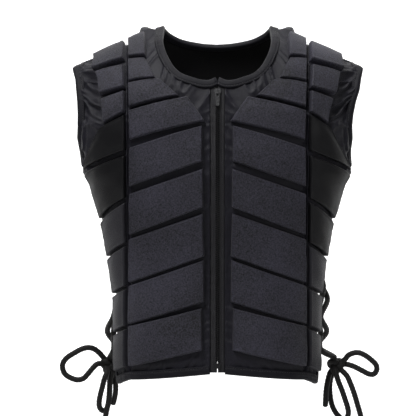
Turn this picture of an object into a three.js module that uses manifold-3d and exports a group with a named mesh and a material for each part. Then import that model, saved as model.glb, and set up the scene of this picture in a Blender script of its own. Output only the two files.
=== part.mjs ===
// A padded riding vest: two front panels and a back panel of cloth that carry
// foam blocks, folded edge bindings, a front zip and cord lacing at the sides.
// Millimetres, +Z up, front towards -Y, origin between the shoulders.
import * as THREE from 'three';
import { mergeVertices } from 'three/addons/utils/BufferGeometryUtils.js';
import Module from 'manifold-3d';

const wasm = await Module();
wasm.setup();

// Body sizes
const CHEST_DROP = 150;
const SIDE_LENGTH = 376;
const CENTRE_LENGTH = 351;
const NECK_RISE = 16;
const SHOULDER_FALL = 62;
const CHEST_HALF_WIDTH = 222;
const FRONT_DEPTH = 118;
const BACK_DEPTH = 105;
const RIDGE_SETBACK = 12;
const SEAM_HALF_WIDTH = 132;
const SEAM_SPREAD = 6;
const SECTION_POWER = 2.5;
const SHOULDER_POWER = 2.2;
const ARMHOLE_EDGE_ANGLE = 72;
const SIDE_EDGE_ANGLE = 82;
const ARMPIT_DOWN = 0.15;
const ARMHOLE_BINDING_DOWN = 0.1;

// Cloth, blocks and clearances
const WALL = 3;
const GAP = 0.3;
const PAD_GAP = 1;
const PAD_HEIGHT = 9;
const PAD_TOP_INSET = 2.4;
const BACK_PAD_HEIGHT = 8;
const RUFFLE_HEIGHT = 1.2;

// Bindings
const BINDING_WIDTH = 10;
const BINDING_LIP = 7;
const BINDING_THICKNESS = 2.4;
const LIP_CLEARANCE = 2;
const BINDING_SAG = 1.2;

// Zip
const ZIP_HALF_OPENING = 11;
const TAPE_THICKNESS = 1.4;
const TAPE_SINK = 1.6;
const CHAIN_HALF_WIDTH = 3;
const CHAIN_PROUD = 0.2;
const CHAIN_DEPTH = 4.6;
const HALF_GAP = 0.15;
const TAPE_LAP = 0.1;
const CHAIN_END_STEP = 0.01;
const SLIDER_LENGTH = 13;
const SLIDER_HALF_WIDTH = 5.4;
const SLIDER_NOSE_HALF_WIDTH = 4.32;
const SLIDER_TAIL_HALF_WIDTH = 3.8;
const SLIDER_PLATE = 1.6;
const SLIDER_CLEARANCE = 0.4;
const POST_HALF_WIDTH = 1.2;
const BRIDGE_HALF_WIDTH = 1.2;
const BRIDGE_OPENING = 2.8;
const BRIDGE_LEG = 1.2;
const BRIDGE_BAR = 1;
const PULL_PIN_RADIUS = 0.8;
const PULL_LENGTH = 21;
const PULL_ARM_WIDTH = 1.5;
const PULL_SLOT_LENGTH = 6.5;
const PULL_THICKNESS = 1.6;
const PULL_TIP_HALF_WIDTH = 2.6;
const PULL_TIP_CHAMFER = 1;
const PULL_CHAMFER = 1.5;
const PULL_ARM_OVERLAP = 1;
const PIN_SEAT = 0.2;
const BOX_HALF_WIDTH = 4.5;
const BOX_HEIGHT = 7;
const BOX_ABOVE_HEM = 6;
const BOX_PROUD = 0.6;

// Cord
const CORD_DIAMETER = 8.5;
const CORD_SIDES = 8;
const LACE_LIFT = 2.6;
const LACE_LEVELS = 6;
const LACE_ACROSS = 1.86;
const LACE_TOP = 0.19;
const LACE_BOTTOM = 0.86;
const KNOT_RADIUS = 12;
const KNOT_FLATTENING = 0.9;
const CORD_STEP = 2.3;
const LACE_END_LIFT = 1.4;
const LACE_END_SPREAD = 5;
const LACE_END_INSET = 2;

// Body profile: down is the share of SIDE_LENGTH below the chest line, the rest
// are shares of CHEST_HALF_WIDTH, FRONT_DEPTH and BACK_DEPTH.
const BODY = [
  { down: 0, half: 1, front: 1, back: 1 },
  { down: 0.075, half: 0.934, front: 1.004, back: 1 },
  { down: 0.144, half: 0.896, front: 1, back: 0.981 },
  { down: 0.253, half: 0.842, front: 0.966, back: 0.924 },
  { down: 0.335, half: 0.802, front: 0.932, back: 0.876 },
  { down: 0.418, half: 0.766, front: 0.898, back: 0.838 },
  { down: 0.489, half: 0.743, front: 0.881, back: 0.819 },
  { down: 0.646, half: 0.703, front: 0.873, back: 0.838 },
  { down: 0.8, half: 0.696, front: 0.907, back: 0.886 },
  { down: 1, half: 0.696, front: 0.949, back: 0.952 },
];

// Shoulder ridge: out is the share of CHEST_HALF_WIDTH, fall of SHOULDER_FALL.
const RIDGE = [
  { out: 0, fall: 0 },
  { out: 0.33, fall: 0 },
  { out: 0.48, fall: 0.11 },
  { out: 0.63, fall: 0.34 },
  { out: 0.838, fall: 0.677 },
  { out: 0.977, fall: 0.903 },
  { out: 1.036, fall: 1 },
];

// Across a panel, 0 is the centre, 1 the block seam and 2 the outer edge. Up a
// panel, 0 is the chest line, -1 the hem at the side and 1 the shoulder ridge.
// Each row runs from the panel's inner edge to its outer edge.
const FRONT_ROWS = [
  { inner: null, low: -0.9335, outer: -1, cells: 14 },
  { inner: null, low: 0.298, outer: 0.3, cells: 1 },
  { inner: 0.17, low: 0.3, outer: 0.352, cells: 1 },
  { inner: 0.27, low: 0.315, outer: 0.415, cells: 1 },
  { inner: 0.42, low: 0.352, outer: 0.48, cells: 1 },
  { inner: 0.52, low: 0.425, outer: 0.56, cells: 1 },
  { inner: 0.59, low: 0.54, outer: 0.66, cells: 1 },
  { inner: 0.62, low: 0.66, outer: 0.76, cells: 1 },
  { inner: 0.62, low: 0.8, outer: 0.87, cells: 2 },
  { inner: 0.6, low: 1, outer: 1, cells: 0 },
];
const BACK_NECK_ROWS = [
  { inner: 0.0, low: 0.7, outer: 0.72 },
  { inner: 0.2, low: 0.715, outer: 0.77 },
  { inner: 0.4, low: 0.765, outer: 0.83 },
  { inner: 0.53, low: 0.86, outer: 0.89 },
  { inner: 0.59, low: 0.94, outer: 0.95 },
  { inner: 0.6, low: 1, outer: 1 },
];

// Blocks of the inner column, top row first: the zip side and the seam side of
// each upper and lower edge, in panel shares.
const INNER_BLOCKS = [
  { topZip: 0.8, topZipUp: 1, topSeamUp: 1, lowZip: 0.797, lowZipUp: 0.515, lowSeamUp: 0.559 },
  { topZip: 0.8, topZipUp: 0.475, topSeamUp: 0.523, lowZip: 0.686, lowZipUp: 0.323, lowSeamUp: 0.34 },
  { topZip: 0.655, topZipUp: 0.304, topSeamUp: 0.315, lowZip: 0.435, lowZipUp: 0.21, lowSeamUp: 0.165 },
  { topZip: 0.346, topZipUp: 0.191, topSeamUp: 0.13, lowZip: 0.15, lowZipUp: 0.073, lowSeamUp: -0.012 },
  { topZip: 0.18, topZipUp: 0.036, topSeamUp: -0.049, lowZip: 0.18, lowZipUp: -0.098, lowSeamUp: -0.195 },
  { topZip: 0.175, topZipUp: -0.133, topSeamUp: -0.23, lowZip: 0.17, lowZipUp: -0.276, lowSeamUp: -0.387 },
  { topZip: 0.175, topZipUp: -0.308, topSeamUp: -0.409, lowZip: 0.158, lowZipUp: -0.471, lowSeamUp: -0.579 },
  { topZip: 0.163, topZipUp: -0.492, topSeamUp: -0.597, lowZip: 0.158, lowZipUp: -0.653, lowSeamUp: -0.748 },
  { topZip: 0.182, topZipUp: -0.683, topSeamUp: -0.76, lowZip: 0.18, lowZipUp: -0.843, lowSeamUp: -0.915 },
];
const INNER_SEAM_EDGE = 0.955;

// Blocks above this share bend over the shoulder and need shorter facets.
const STEEP_ABOVE = 0.4;
const STEEP_CELL = 14;
const LEVEL_CELL = 32;

// Blocks of the outer column: the seam side and the outer side of each edge.
const OUTER_BLOCKS = [
  { topSeamUp: 1, topOut: 1.55, topOutUp: 1, lowSeamUp: 0.556, lowOut: 1.46, lowOutUp: 0.575 },
  { topSeamUp: 0.482, topOut: 1.4, topOutUp: 0.504, lowSeamUp: 0.305, lowOut: 1.4, lowOutUp: 0.3 },
  { topSeamUp: 0.267, topOut: 1.38, topOutUp: 0.248, lowSeamUp: 0.14, lowOut: 1.35, lowOutUp: 0.08 },
  { topSeamUp: 0.105, topOut: 1.38, topOutUp: 0.045, lowSeamUp: -0.052, lowOut: 1.77, lowOutUp: -0.125 },
  { topSeamUp: -0.078, topOut: 1.77, topOutUp: -0.15, lowSeamUp: -0.239, lowOut: 1.7, lowOutUp: -0.321 },
  { topSeamUp: -0.262, topOut: 1.7, topOutUp: -0.344, lowSeamUp: -0.417, lowOut: 1.7, lowOutUp: -0.475 },
  { topSeamUp: -0.436, topOut: 1.7, topOutUp: -0.494, lowSeamUp: -0.592, lowOut: 1.7, lowOutUp: -0.627 },
  { topSeamUp: -0.611, topOut: 1.7, topOutUp: -0.646, lowSeamUp: -0.755, lowOut: 1.7, lowOutUp: -0.786 },
  { topSeamUp: -0.774, topOut: 1.7, topOutUp: -0.805, lowSeamUp: -0.917, lowOut: 1.7, lowOutUp: -0.945 },
];
const OUTER_SEAM_EDGE = 1.05;

// Rows of blocks on the back, as shares up the panel, with the grid lines
// between the edges of each.
const BACK_BLOCKS = [
  { low: -0.88, top: -0.62, bends: 1 },
  { low: -0.58, top: -0.3, bends: 1 },
  { low: -0.26, top: 0, bends: 3 },
  { low: 0.04, top: 0.31, bends: 1 },
  { low: 0.35, top: 0.6, bends: 1 },
];
const BACK_COLUMNS = [
  { near: 0.05, far: 0.955 },
  { near: 1.05, far: 1.62 },
];

// Cord routes on each side, in the cord's own hand-picked points.
const ROUTES = {
  left: {
    knot: [-168, 0, -501],
    sideLoop: [
      [-168.7, 0, -495.4], [-174.9, -2, -489.6], [-181.8, -5, -481.3], [-190.4, -8, -474.4],
      [-199, -11, -472.4], [-208.3, -13, -474.3], [-220.2, -14, -480.5], [-231.3, -14, -487.7],
      [-237.4, -13, -495.7], [-238.3, -12, -503.8], [-234.8, -11, -512.7], [-226, -11, -519],
      [-214.8, -12, -522], [-206, -13, -519.6], [-198.9, -13, -512.5], [-191.7, -12, -503.8],
      [-184.7, -10, -497.7], [-177, -6, -498], [-168.6, -2, -501],
    ],
    hangingLoop: [
      [-168.7, -2, -501.9], [-170, -13, -511], [-173.8, -15, -521], [-176.8, -14, -532.7],
      [-180, -11, -544.7], [-182.2, -8, -556.9], [-181.6, -4, -565.3], [-178.1, 1, -570.6],
      [-173.9, 5, -571.5], [-170.1, 9, -565.7], [-168.4, 12, -552.8], [-167.3, 13, -532.7],
      [-167.1, 11, -515.2], [-167.6, 3, -502.2],
    ],
    longEnd: [
      [-163, -4, -513.4], [-164.5, -5, -520], [-165.9, -5, -532], [-166.5, -4, -547],
      [-169.1, -6, -562.8], [-172.3, -7, -578.5], [-173.9, -6, -591],
    ],
    shortEnd: [
      [-160.5, 5, -512.8], [-159.3, 4, -520], [-157.2, 3, -532.9], [-158.2, 2, -548.3],
      [-161.8, 1, -562.7],
    ],
  },
  right: {
    knot: [184, 0, -501],
    sideLoop: [
      [185.2, 0, -498.8], [196.9, -3, -492.3], [202.9, -6, -484.8], [210.8, -8, -481],
      [218.7, -10, -480.4], [228.4, -11, -484.3], [238.3, -11, -491.6], [245.7, -10, -499.7],
      [246.5, -9, -507], [242.2, -8, -513.5], [235.2, -7, -513.6], [225.4, -6, -509],
      [213.8, -4, -503.1], [205, -2, -500], [197.2, 1, -499], [186.1, 2, -500.5],
    ],
    hangingLoop: [
      [182.8, 0, -501.9], [183.5, -10, -512], [187.5, -11, -525.1], [192.8, -11, -538.4],
      [198, -10, -553.7], [201.9, -8, -565.7], [203, -5, -574.9], [200.5, -2, -582.2],
      [194.2, 1, -583.6], [188.4, 3, -579.5], [183.1, 5, -572.6], [178.7, 7, -562.9],
      [176.1, 9, -549.4], [175.5, 10, -531.4], [178.7, 9, -515], [181.5, 3, -503.7],
    ],
    longEnd: [
      [192.9, -4.6, -508.3], [200.6, -7, -516.4], [206.2, -9, -528.5], [211.6, -9, -542.9],
      [217.1, -8, -561.1], [222.5, -7, -580], [225.7, -6, -594.1],
    ],
    shortEnd: [
      [175.5, -0.9, -511.2], [171.5, -5, -523], [168.7, -7, -538.3], [167.8, -7, -552.2],
      [167.2, -6, -564.7],
    ],
  },
};

const MATERIALS = {
  panel: new THREE.MeshStandardMaterial({ color: 0x141416, roughness: 0.8, metalness: 0 }),
  block: new THREE.MeshStandardMaterial({ color: 0x3e3c44, roughness: 0.85, metalness: 0 }),
  satin: new THREE.MeshStandardMaterial({ color: 0x1c1c20, roughness: 0.45, metalness: 0 }),
  binding: new THREE.MeshStandardMaterial({ color: 0x18181a, roughness: 0.6, metalness: 0 }),
  zip: new THREE.MeshStandardMaterial({ color: 0x101012, roughness: 0.5, metalness: 0 }),
  metal: new THREE.MeshStandardMaterial({ color: 0x2a2a2c, roughness: 0.3, metalness: 0.8 }),
  cord: new THREE.MeshStandardMaterial({ color: 0x1f1c1d, roughness: 0.85, metalness: 0 }),
};

const RIGHT_ANGLE = Math.PI / 2;
const STEP = 1e-3;

// A smooth curve through a table's rows, from one column to another.
function column(rows, from, to) {
  const xs = rows.map((row) => row[from]);
  const ys = rows.map((row) => row[to]);
  const slope = xs.map((_, i) => {
    const a = Math.max(i - 1, 0);
    const b = Math.min(i + 1, xs.length - 1);
    return (ys[b] - ys[a]) / (xs[b] - xs[a]);
  });
  return (x) => {
    let i = 0;
    while (i < xs.length - 2 && x > xs[i + 1]) i += 1;
    const width = xs[i + 1] - xs[i];
    const t = THREE.MathUtils.clamp((x - xs[i]) / width, 0, 1);
    const rise = ys[i + 1] - ys[i];
    const bend = (width * slope[i] - rise) * (1 - t) + (rise - width * slope[i + 1]) * t;
    return ys[i] + rise * t + bend * t * (1 - t);
  };
}

const bodyHalf = column(BODY, 'down', 'half');
const bodyDepth = { front: column(BODY, 'down', 'front'), back: column(BODY, 'down', 'back') };
const ridgeFall = column(RIDGE, 'out', 'fall');
const depthOf = { front: FRONT_DEPTH, back: BACK_DEPTH };

function halfWidth(up) {
  return CHEST_HALF_WIDTH * bodyHalf(Math.max(-up, 0));
}

function seamWidth(up) {
  return SEAM_HALF_WIDTH + SEAM_SPREAD * Math.max(up, 0);
}

function edgeAngle(up) {
  const share = THREE.MathUtils.clamp(-up / ARMPIT_DOWN, 0, 1);
  const angle = ARMHOLE_EDGE_ANGLE + (SIDE_EDGE_ANGLE - ARMHOLE_EDGE_ANGLE) * share;
  return THREE.MathUtils.degToRad(angle);
}

function ridgeHeight(x) {
  return NECK_RISE - SHOULDER_FALL * ridgeFall(x / CHEST_HALF_WIDTH);
}

// A point of the panel's outer face, on the +X side.
function spot(face, across, up) {
  const half = halfWidth(up);
  const seamAngle = Math.asin((seamWidth(up) / half) ** (SECTION_POWER / 2));
  let x = across * seamWidth(up);
  let angle = Math.asin(Math.min(Math.abs(x) / half, 1) ** (SECTION_POWER / 2));
  if (across > 1) {
    angle = seamAngle + (across - 1) * (edgeAngle(up) - seamAngle);
    x = half * Math.sin(angle) ** (2 / SECTION_POWER);
  }
  const depth = depthOf[face] * bodyDepth[face](Math.max(-up, 0)) * Math.cos(angle) ** (2 / SECTION_POWER);
  const sign = face === 'front' ? -1 : 1;
  if (up <= 0) return new THREE.Vector3(x, sign * depth, -CHEST_DROP + up * SIDE_LENGTH);
  const lean = Math.min(up, 1) * RIGHT_ANGLE;
  const rise = ridgeHeight(x) + CHEST_DROP;
  const reach = depth - sign * RIDGE_SETBACK;
  return new THREE.Vector3(
    x,
    RIDGE_SETBACK + sign * reach * Math.max(Math.cos(lean), 0) ** (2 / SHOULDER_POWER),
    -CHEST_DROP + rise * Math.sin(lean) ** (2 / SHOULDER_POWER),
  );
}

function slopes(face, across, up) {
  const level = Math.min(up, 1 - 2 * STEP);
  const alongAcross = spot(face, across + STEP, level).sub(spot(face, across - STEP, level));
  const alongUp = spot(face, across, level + STEP).sub(spot(face, across, level - STEP));
  return [alongAcross.divideScalar(2 * STEP), alongUp.divideScalar(2 * STEP)];
}

function outward(face, across, up) {
  if (up > 1 - STEP) {
    const x = spot(face, across, 1).x;
    const tilt = (ridgeHeight(x + 1) - ridgeHeight(x - 1)) / 2;
    return new THREE.Vector3(-tilt, 0, 1).normalize();
  }
  const [a, b] = slopes(face, across, up);
  const normal = a.cross(b).normalize();
  return face === 'front' ? normal : normal.negate();
}

// A point at a height above the panel's outer face, kept on its side of the ridge.
function at(face, across, up, height) {
  const point = spot(face, across, up).addScaledVector(outward(face, across, up), height);
  if (face === 'front') point.y = Math.min(point.y, RIDGE_SETBACK - GAP / 2);
  else point.y = Math.max(point.y, RIDGE_SETBACK + GAP / 2);
  return point;
}

// The panel shares reached by moving a distance along the face.
function slide(place, direction, distance) {
  const [a, b] = slopes(place.face, place.across, place.up);
  const aa = a.dot(a);
  const ab = a.dot(b);
  const bb = b.dot(b);
  const da = a.dot(direction) * distance;
  const db = b.dot(direction) * distance;
  const det = aa * bb - ab * ab;
  return {
    face: place.face,
    across: place.across + (da * bb - db * ab) / det,
    up: Math.min(place.up + (db * aa - da * ab) / det, 1),
  };
}

// Closed geometry from points and triangles, welded, with faces pointing out.
function closed(points, triangles) {
  const index = new Map();
  const vertices = [];
  const ids = points.map((p) => {
    const key = [p.x, p.y, p.z].map((value) => Math.round(value * 1e3)).join();
    if (!index.has(key)) {
      index.set(key, vertices.length / 3);
      vertices.push(p.x, p.y, p.z);
    }
    return index.get(key);
  });
  let faces = triangles.map((t) => t.map((i) => ids[i]));
  faces = faces.filter(([a, b, c]) => a !== b && b !== c && a !== c);
  const corner = (i) => new THREE.Vector3(vertices[3 * i], vertices[3 * i + 1], vertices[3 * i + 2]);
  const volume = faces.reduce((sum, [a, b, c]) => sum + corner(a).dot(corner(b).cross(corner(c))), 0);
  if (volume < 0) faces = faces.map(([a, b, c]) => [a, c, b]);
  const geometry = new THREE.BufferGeometry();
  geometry.setAttribute('position', new THREE.Float32BufferAttribute(vertices, 3));
  geometry.setIndex(faces.flat());
  return geometry;
}

// A slab between two grids of the same size, outer(i, j) and inner(i, j).
function slab(columns, rows, outer, inner) {
  const points = [];
  const triangles = [];
  const id = (side, i, j) => (side * rows + j) * columns + i;
  for (const grid of [outer, inner]) {
    for (let j = 0; j < rows; j += 1) {
      for (let i = 0; i < columns; i += 1) points.push(grid(i, j));
    }
  }
  const quad = (a, b, c, d) => triangles.push([a, b, c], [a, c, d]);
  for (let j = 0; j < rows - 1; j += 1) {
    for (let i = 0; i < columns - 1; i += 1) {
      quad(id(0, i, j), id(0, i + 1, j), id(0, i + 1, j + 1), id(0, i, j + 1));
      quad(id(1, i, j), id(1, i, j + 1), id(1, i + 1, j + 1), id(1, i + 1, j));
    }
  }
  const last = columns - 1;
  const top = rows - 1;
  for (let i = 0; i < last; i += 1) {
    quad(id(0, i, 0), id(1, i, 0), id(1, i + 1, 0), id(0, i + 1, 0));
    quad(id(0, i, top), id(0, i + 1, top), id(1, i + 1, top), id(1, i, top));
  }
  for (let j = 0; j < top; j += 1) {
    quad(id(0, 0, j), id(0, 0, j + 1), id(1, 0, j + 1), id(1, 0, j));
    quad(id(0, last, j), id(1, last, j), id(1, last, j + 1), id(0, last, j + 1));
  }
  return closed(points, triangles);
}

// A loft through rings of points, all with the same flat profile.
function loft(rings, profile) {
  const count = profile.length;
  const triangles = [];
  for (let r = 0; r < rings.length - 1; r += 1) {
    for (let i = 0; i < count; i += 1) {
      const next = (i + 1) % count;
      const a = r * count + i;
      const b = r * count + next;
      triangles.push([a, b, b + count], [a, b + count, a + count]);
    }
  }
  const shape = profile.map(([x, y]) => new THREE.Vector2(x, y));
  const cap = THREE.ShapeUtils.triangulateShape(shape, []);
  const turned = THREE.ShapeUtils.isClockWise(shape);
  const end = (rings.length - 1) * count;
  for (const [a, b, c] of cap) {
    triangles.push(turned ? [a, b, c] : [c, b, a]);
    triangles.push(turned ? [c + end, b + end, a + end] : [a + end, b + end, c + end]);
  }
  return closed(rings.flat(), triangles);
}

function mirrored(geometry) {
  const copy = geometry.clone();
  const position = copy.getAttribute('position');
  for (let i = 0; i < position.count; i += 1) position.setX(i, -position.getX(i));
  const index = copy.getIndex();
  for (let i = 0; i < index.count; i += 3) {
    const b = index.getX(i + 1);
    index.setX(i + 1, index.getX(i + 2));
    index.setX(i + 2, b);
  }
  return copy;
}

function solid(geometry) {
  const bare = geometry.clone();
  bare.deleteAttribute('normal');
  bare.deleteAttribute('uv');
  const merged = mergeVertices(bare, 1e-4);
  return new wasm.Manifold(new wasm.Mesh({
    numProp: 3,
    vertProperties: Float32Array.from(merged.getAttribute('position').array),
    triVerts: Uint32Array.from(merged.getIndex().array),
  }));
}

function geometryOf(manifold) {
  const mesh = manifold.getMesh();
  const geometry = new THREE.BufferGeometry();
  geometry.setAttribute('position', new THREE.BufferAttribute(mesh.vertProperties, 3));
  geometry.setIndex(new THREE.BufferAttribute(mesh.triVerts, 1));
  return geometry;
}

function joined(...geometries) {
  return geometryOf(geometries.map(solid).reduce((sum, next) => sum.add(next)));
}

const vest = new THREE.Group();

function addMesh(name, geometry, material, parent = vest) {
  const mesh = new THREE.Mesh(geometry, MATERIALS[material]);
  mesh.name = name;
  parent.add(mesh);
  return mesh;
}

function addPair(name, geometry, material) {
  addMesh(name.replace('SIDE', 'right'), geometry, material);
  addMesh(name.replace('SIDE', 'left'), mirrored(geometry), material);
}

// The rows of a panel's grid, from its table.
function panelRows(table) {
  const edge = ZIP_HALF_OPENING / SEAM_HALF_WIDTH;
  const rows = [];
  for (let k = 0; k < table.length - 1; k += 1) {
    for (let i = 0; i < table[k].cells; i += 1) {
      const t = i / table[k].cells;
      const from = table[k];
      const to = table[k + 1];
      rows.push({
        inner: THREE.MathUtils.lerp(from.inner ?? edge, to.inner ?? edge, t),
        low: THREE.MathUtils.lerp(from.low, to.low, t),
        outer: THREE.MathUtils.lerp(from.outer, to.outer, t),
      });
    }
  }
  rows.push(table.at(-1));
  return rows;
}

const PANEL_COLUMNS = [0, 0.14, 0.28, 0.4, 0.49, 0.56, 0.63, 0.7, 0.77, 0.84, 0.92, 1];
const RUFFLE_COLUMNS = [8, 9];
const hemLow = -CENTRE_LENGTH / SIDE_LENGTH;
FRONT_ROWS[0].low = hemLow;
const NECK_LOW = FRONT_ROWS[1].low;
const frontRows = panelRows(FRONT_ROWS);

function panelPlace(face, row, share) {
  return {
    face,
    across: THREE.MathUtils.lerp(row.inner, 2, share),
    up: THREE.MathUtils.lerp(row.low, row.outer, share),
  };
}

// Gathers beside the armhole: alternate rows of the outer columns stand proud.
function gather(row, rowNumber, columnNumber) {
  const beside = RUFFLE_COLUMNS.includes(columnNumber) && row.outer > -ARMPIT_DOWN && row.outer < 1;
  return beside ? RUFFLE_HEIGHT * (rowNumber % 2) : 0;
}

function frontShell() {
  const grid = (lift) => (i, j) => {
    const place = panelPlace('front', frontRows[j], PANEL_COLUMNS[i]);
    return at('front', place.across, place.up, lift + gather(frontRows[j], j, i));
  };
  return slab(PANEL_COLUMNS.length, frontRows.length, grid(0), grid(-WALL));
}

// A foam block over a four-cornered patch of the panel. Corners go round from
// the lower near one; lines are the shares across where the block bends.
function block(face, corners, lines) {
  const place = (u, v) => {
    const mix = (key) => THREE.MathUtils.lerp(
      THREE.MathUtils.lerp(corners[0][key], corners[1][key], u),
      THREE.MathUtils.lerp(corners[3][key], corners[2][key], u),
      v,
    );
    return [mix('across'), mix('up')];
  };
  const width = spot(face, ...place(0, 0.5)).distanceTo(spot(face, ...place(1, 0.5)));
  const height = spot(face, ...place(0.5, 0)).distanceTo(spot(face, ...place(0.5, 1)));
  const stops = (size, inside) => {
    const inset = PAD_TOP_INSET / size;
    const middle = inside.map((share) => ({ top: share, foot: share }));
    return [{ top: inset, foot: 0 }, ...middle, { top: 1 - inset, foot: 1 }];
  };
  const cell = corners[2].up > STEEP_ABOVE || lines.length > 3 ? STEEP_CELL : LEVEL_CELL;
  const cells = Math.max(2, Math.ceil(height / cell));
  const us = stops(width, lines);
  const vs = stops(height, Array.from({ length: cells - 1 }, (_, i) => (i + 1) / cells));
  const outer = (i, j) => at(face, ...place(us[i].top, vs[j].top), PAD_GAP + PAD_HEIGHT);
  const inner = (i, j) => at(face, ...place(us[i].foot, vs[j].foot), PAD_GAP);
  return slab(us.length, vs.length, outer, inner);
}

function addBlocks() {
  INNER_BLOCKS.forEach((row, n) => {
    const corners = [
      { across: row.lowZip, up: row.lowZipUp },
      { across: INNER_SEAM_EDGE, up: row.lowSeamUp },
      { across: INNER_SEAM_EDGE, up: row.topSeamUp },
      { across: row.topZip, up: row.topZipUp },
    ];
    const narrow = row.topZip > 0.5;
    const lines = narrow ? [0.35, 0.7] : [0.32, 0.58, 0.8];
    addPair(`pad_front_SIDE_inner_${n + 1}`, block('front', corners, lines), 'block');
  });
  OUTER_BLOCKS.forEach((row, n) => {
    const corners = [
      { across: OUTER_SEAM_EDGE, up: row.lowSeamUp },
      { across: row.lowOut, up: row.lowOutUp },
      { across: row.topOut, up: row.topOutUp },
      { across: OUTER_SEAM_EDGE, up: row.topSeamUp },
    ];
    const satin = n === 3 || n === 4;
    const lines = satin ? [0.2, 0.4, 0.6, 0.8] : [0.35, 0.68];
    addPair(`pad_front_SIDE_outer_${n + 1}`, block('front', corners, lines), satin ? 'satin' : 'block');
  });
}

// The back panel: one shell whose outer face rises over its own blocks.
function backRows() {
  const rows = [{ up: hemLow, rise: 0 }];
  for (const { low, top, bends } of BACK_BLOCKS) {
    rows.push({ up: low, rise: 0 }, { up: low, rise: 1 });
    for (let i = 1; i <= bends; i += 1) {
      rows.push({ up: THREE.MathUtils.lerp(low, top, i / (bends + 1)), rise: 1, middle: true });
    }
    rows.push({ up: top, rise: 1 }, { up: top, rise: 0 });
  }
  return rows.map((row) => ({ inner: 0, low: row.up, outer: row.up, rise: row.rise, middle: row.middle }));
}

function backColumns() {
  const columns = [{ across: 0, rise: 0 }];
  for (const { near, far } of BACK_COLUMNS) {
    columns.push({ across: near, rise: 0 }, { across: near, rise: 1 });
    for (const share of [1 / 3, 2 / 3]) {
      columns.push({ across: THREE.MathUtils.lerp(near, far, share), rise: 1, middle: true });
    }
    columns.push({ across: far, rise: 1 }, { across: far, rise: 0 });
  }
  columns.push({ across: 1.82, rise: 0 }, { across: 2, rise: 0 });
  return columns;
}

const backGridRows = backRows();
backGridRows[0].outer = -1;
BACK_NECK_ROWS.forEach((row) => backGridRows.push({ ...row, rise: 0 }));
const backGridColumns = backColumns();

function backPlace(row, column) {
  const share = column.across / 2;
  return {
    face: 'back',
    across: THREE.MathUtils.lerp(row.inner, 2, share),
    up: THREE.MathUtils.lerp(row.low, row.outer, share),
  };
}

function backShell() {
  const raised = (column, row) => column.rise * row.rise;
  const insetAcross = PAD_TOP_INSET / SEAM_HALF_WIDTH;
  const insetUp = PAD_TOP_INSET / SIDE_LENGTH;
  const nudge = (list, i, key, inset) => {
    const item = list[i];
    if (!item.rise || item.middle) return 0;
    const before = list[i - 1];
    return before && !before.rise && before[key] === item[key] ? inset : -inset;
  };
  const grid = (height, rises) => (i, j) => {
    const column = backGridColumns[i];
    const row = backGridRows[j];
    const place = backPlace(row, column);
    const rise = rises * raised(column, row);
    const across = place.across + rises * nudge(backGridColumns, i, 'across', insetAcross);
    const up = place.up + rises * nudge(backGridRows, j, 'low', insetUp);
    return at('back', across, up, height + rise * BACK_PAD_HEIGHT);
  };
  const half = slab(backGridColumns.length, backGridRows.length, grid(0, 1), grid(-WALL, 0));
  return half;
}

// A folded tape round a panel's edge. Each place gives a point of the edge; the
// tape's section is given as distances in from the edge and heights.
const BINDING_SECTION = [
  [-GAP - BINDING_THICKNESS, -WALL - LIP_CLEARANCE - TAPE_THICKNESS],
  [-GAP - BINDING_THICKNESS, GAP],
  [-GAP, GAP + BINDING_THICKNESS],
  [BINDING_WIDTH - 1, GAP + BINDING_THICKNESS],
  [BINDING_WIDTH, GAP + BINDING_SAG],
  [-GAP, GAP + BINDING_SAG],
  [-GAP, -WALL - LIP_CLEARANCE],
  [BINDING_LIP, -WALL - LIP_CLEARANCE],
  [BINDING_LIP, -WALL - LIP_CLEARANCE - TAPE_THICKNESS],
];

// Places along an edge become rings of the tape's section.
function tape(places, section = BINDING_SECTION) {
  const world = (p, across, up, height) => {
    const point = at(p.face, across, up, height);
    if (p.side < 0) point.x = -point.x;
    return point;
  };
  const points = places.map((p) => world(p, p.across, p.up, 0));
  const rings = places.map((p, i) => {
    const before = points[Math.max(i - 1, 0)];
    const after = points[Math.min(i + 1, points.length - 1)];
    const along = after.clone().sub(before).normalize();
    if (p.side < 0) along.x = -along.x;
    const normal = outward(p.face, p.across, p.up);
    const inward = normal.clone().cross(along).normalize();
    if (inward.dot(p.towards) < 0) inward.negate();
    return section.map(([distance, height]) => {
      const place = slide(p, inward, distance);
      return world(p, place.across, place.up, height);
    });
  });
  return loft(rings, section);
}

const UPWARDS = new THREE.Vector3(0, 0, 1);
const OUTWARDS = new THREE.Vector3(1, 0, 0);
const DOWNWARDS = new THREE.Vector3(0, 0, -1);
const TOWARDS_CENTRE = new THREE.Vector3(-1, 0, 0);

function edgePlaces(face, side, list, towards) {
  return list.map((p) => ({ face, side, across: p.across, up: p.up, towards }));
}

function neckBinding() {
  const front = frontRows
    .filter((row) => row.low >= NECK_LOW)
    .map((row) => ({ across: row.inner, up: row.low }));
  front.unshift({ across: 2 / SEAM_HALF_WIDTH, up: front[0].up - 0.002 });
  const back = BACK_NECK_ROWS.map((row) => ({ across: row.inner, up: row.low })).reverse().slice(1);
  const away = (p) => (p.up > 0.5 ? OUTWARDS : DOWNWARDS.clone().add(OUTWARDS));
  const half = (side) => [
    ...front.map((p) => ({ face: 'front', side, ...p, towards: away(p) })),
    ...back.map((p) => ({ face: 'back', side, ...p, towards: p.across > 0.45 ? OUTWARDS : DOWNWARDS })),
  ];
  const right = half(1);
  const left = half(-1).slice(0, -1).reverse();
  return tape([...right, ...left]);
}

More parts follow.
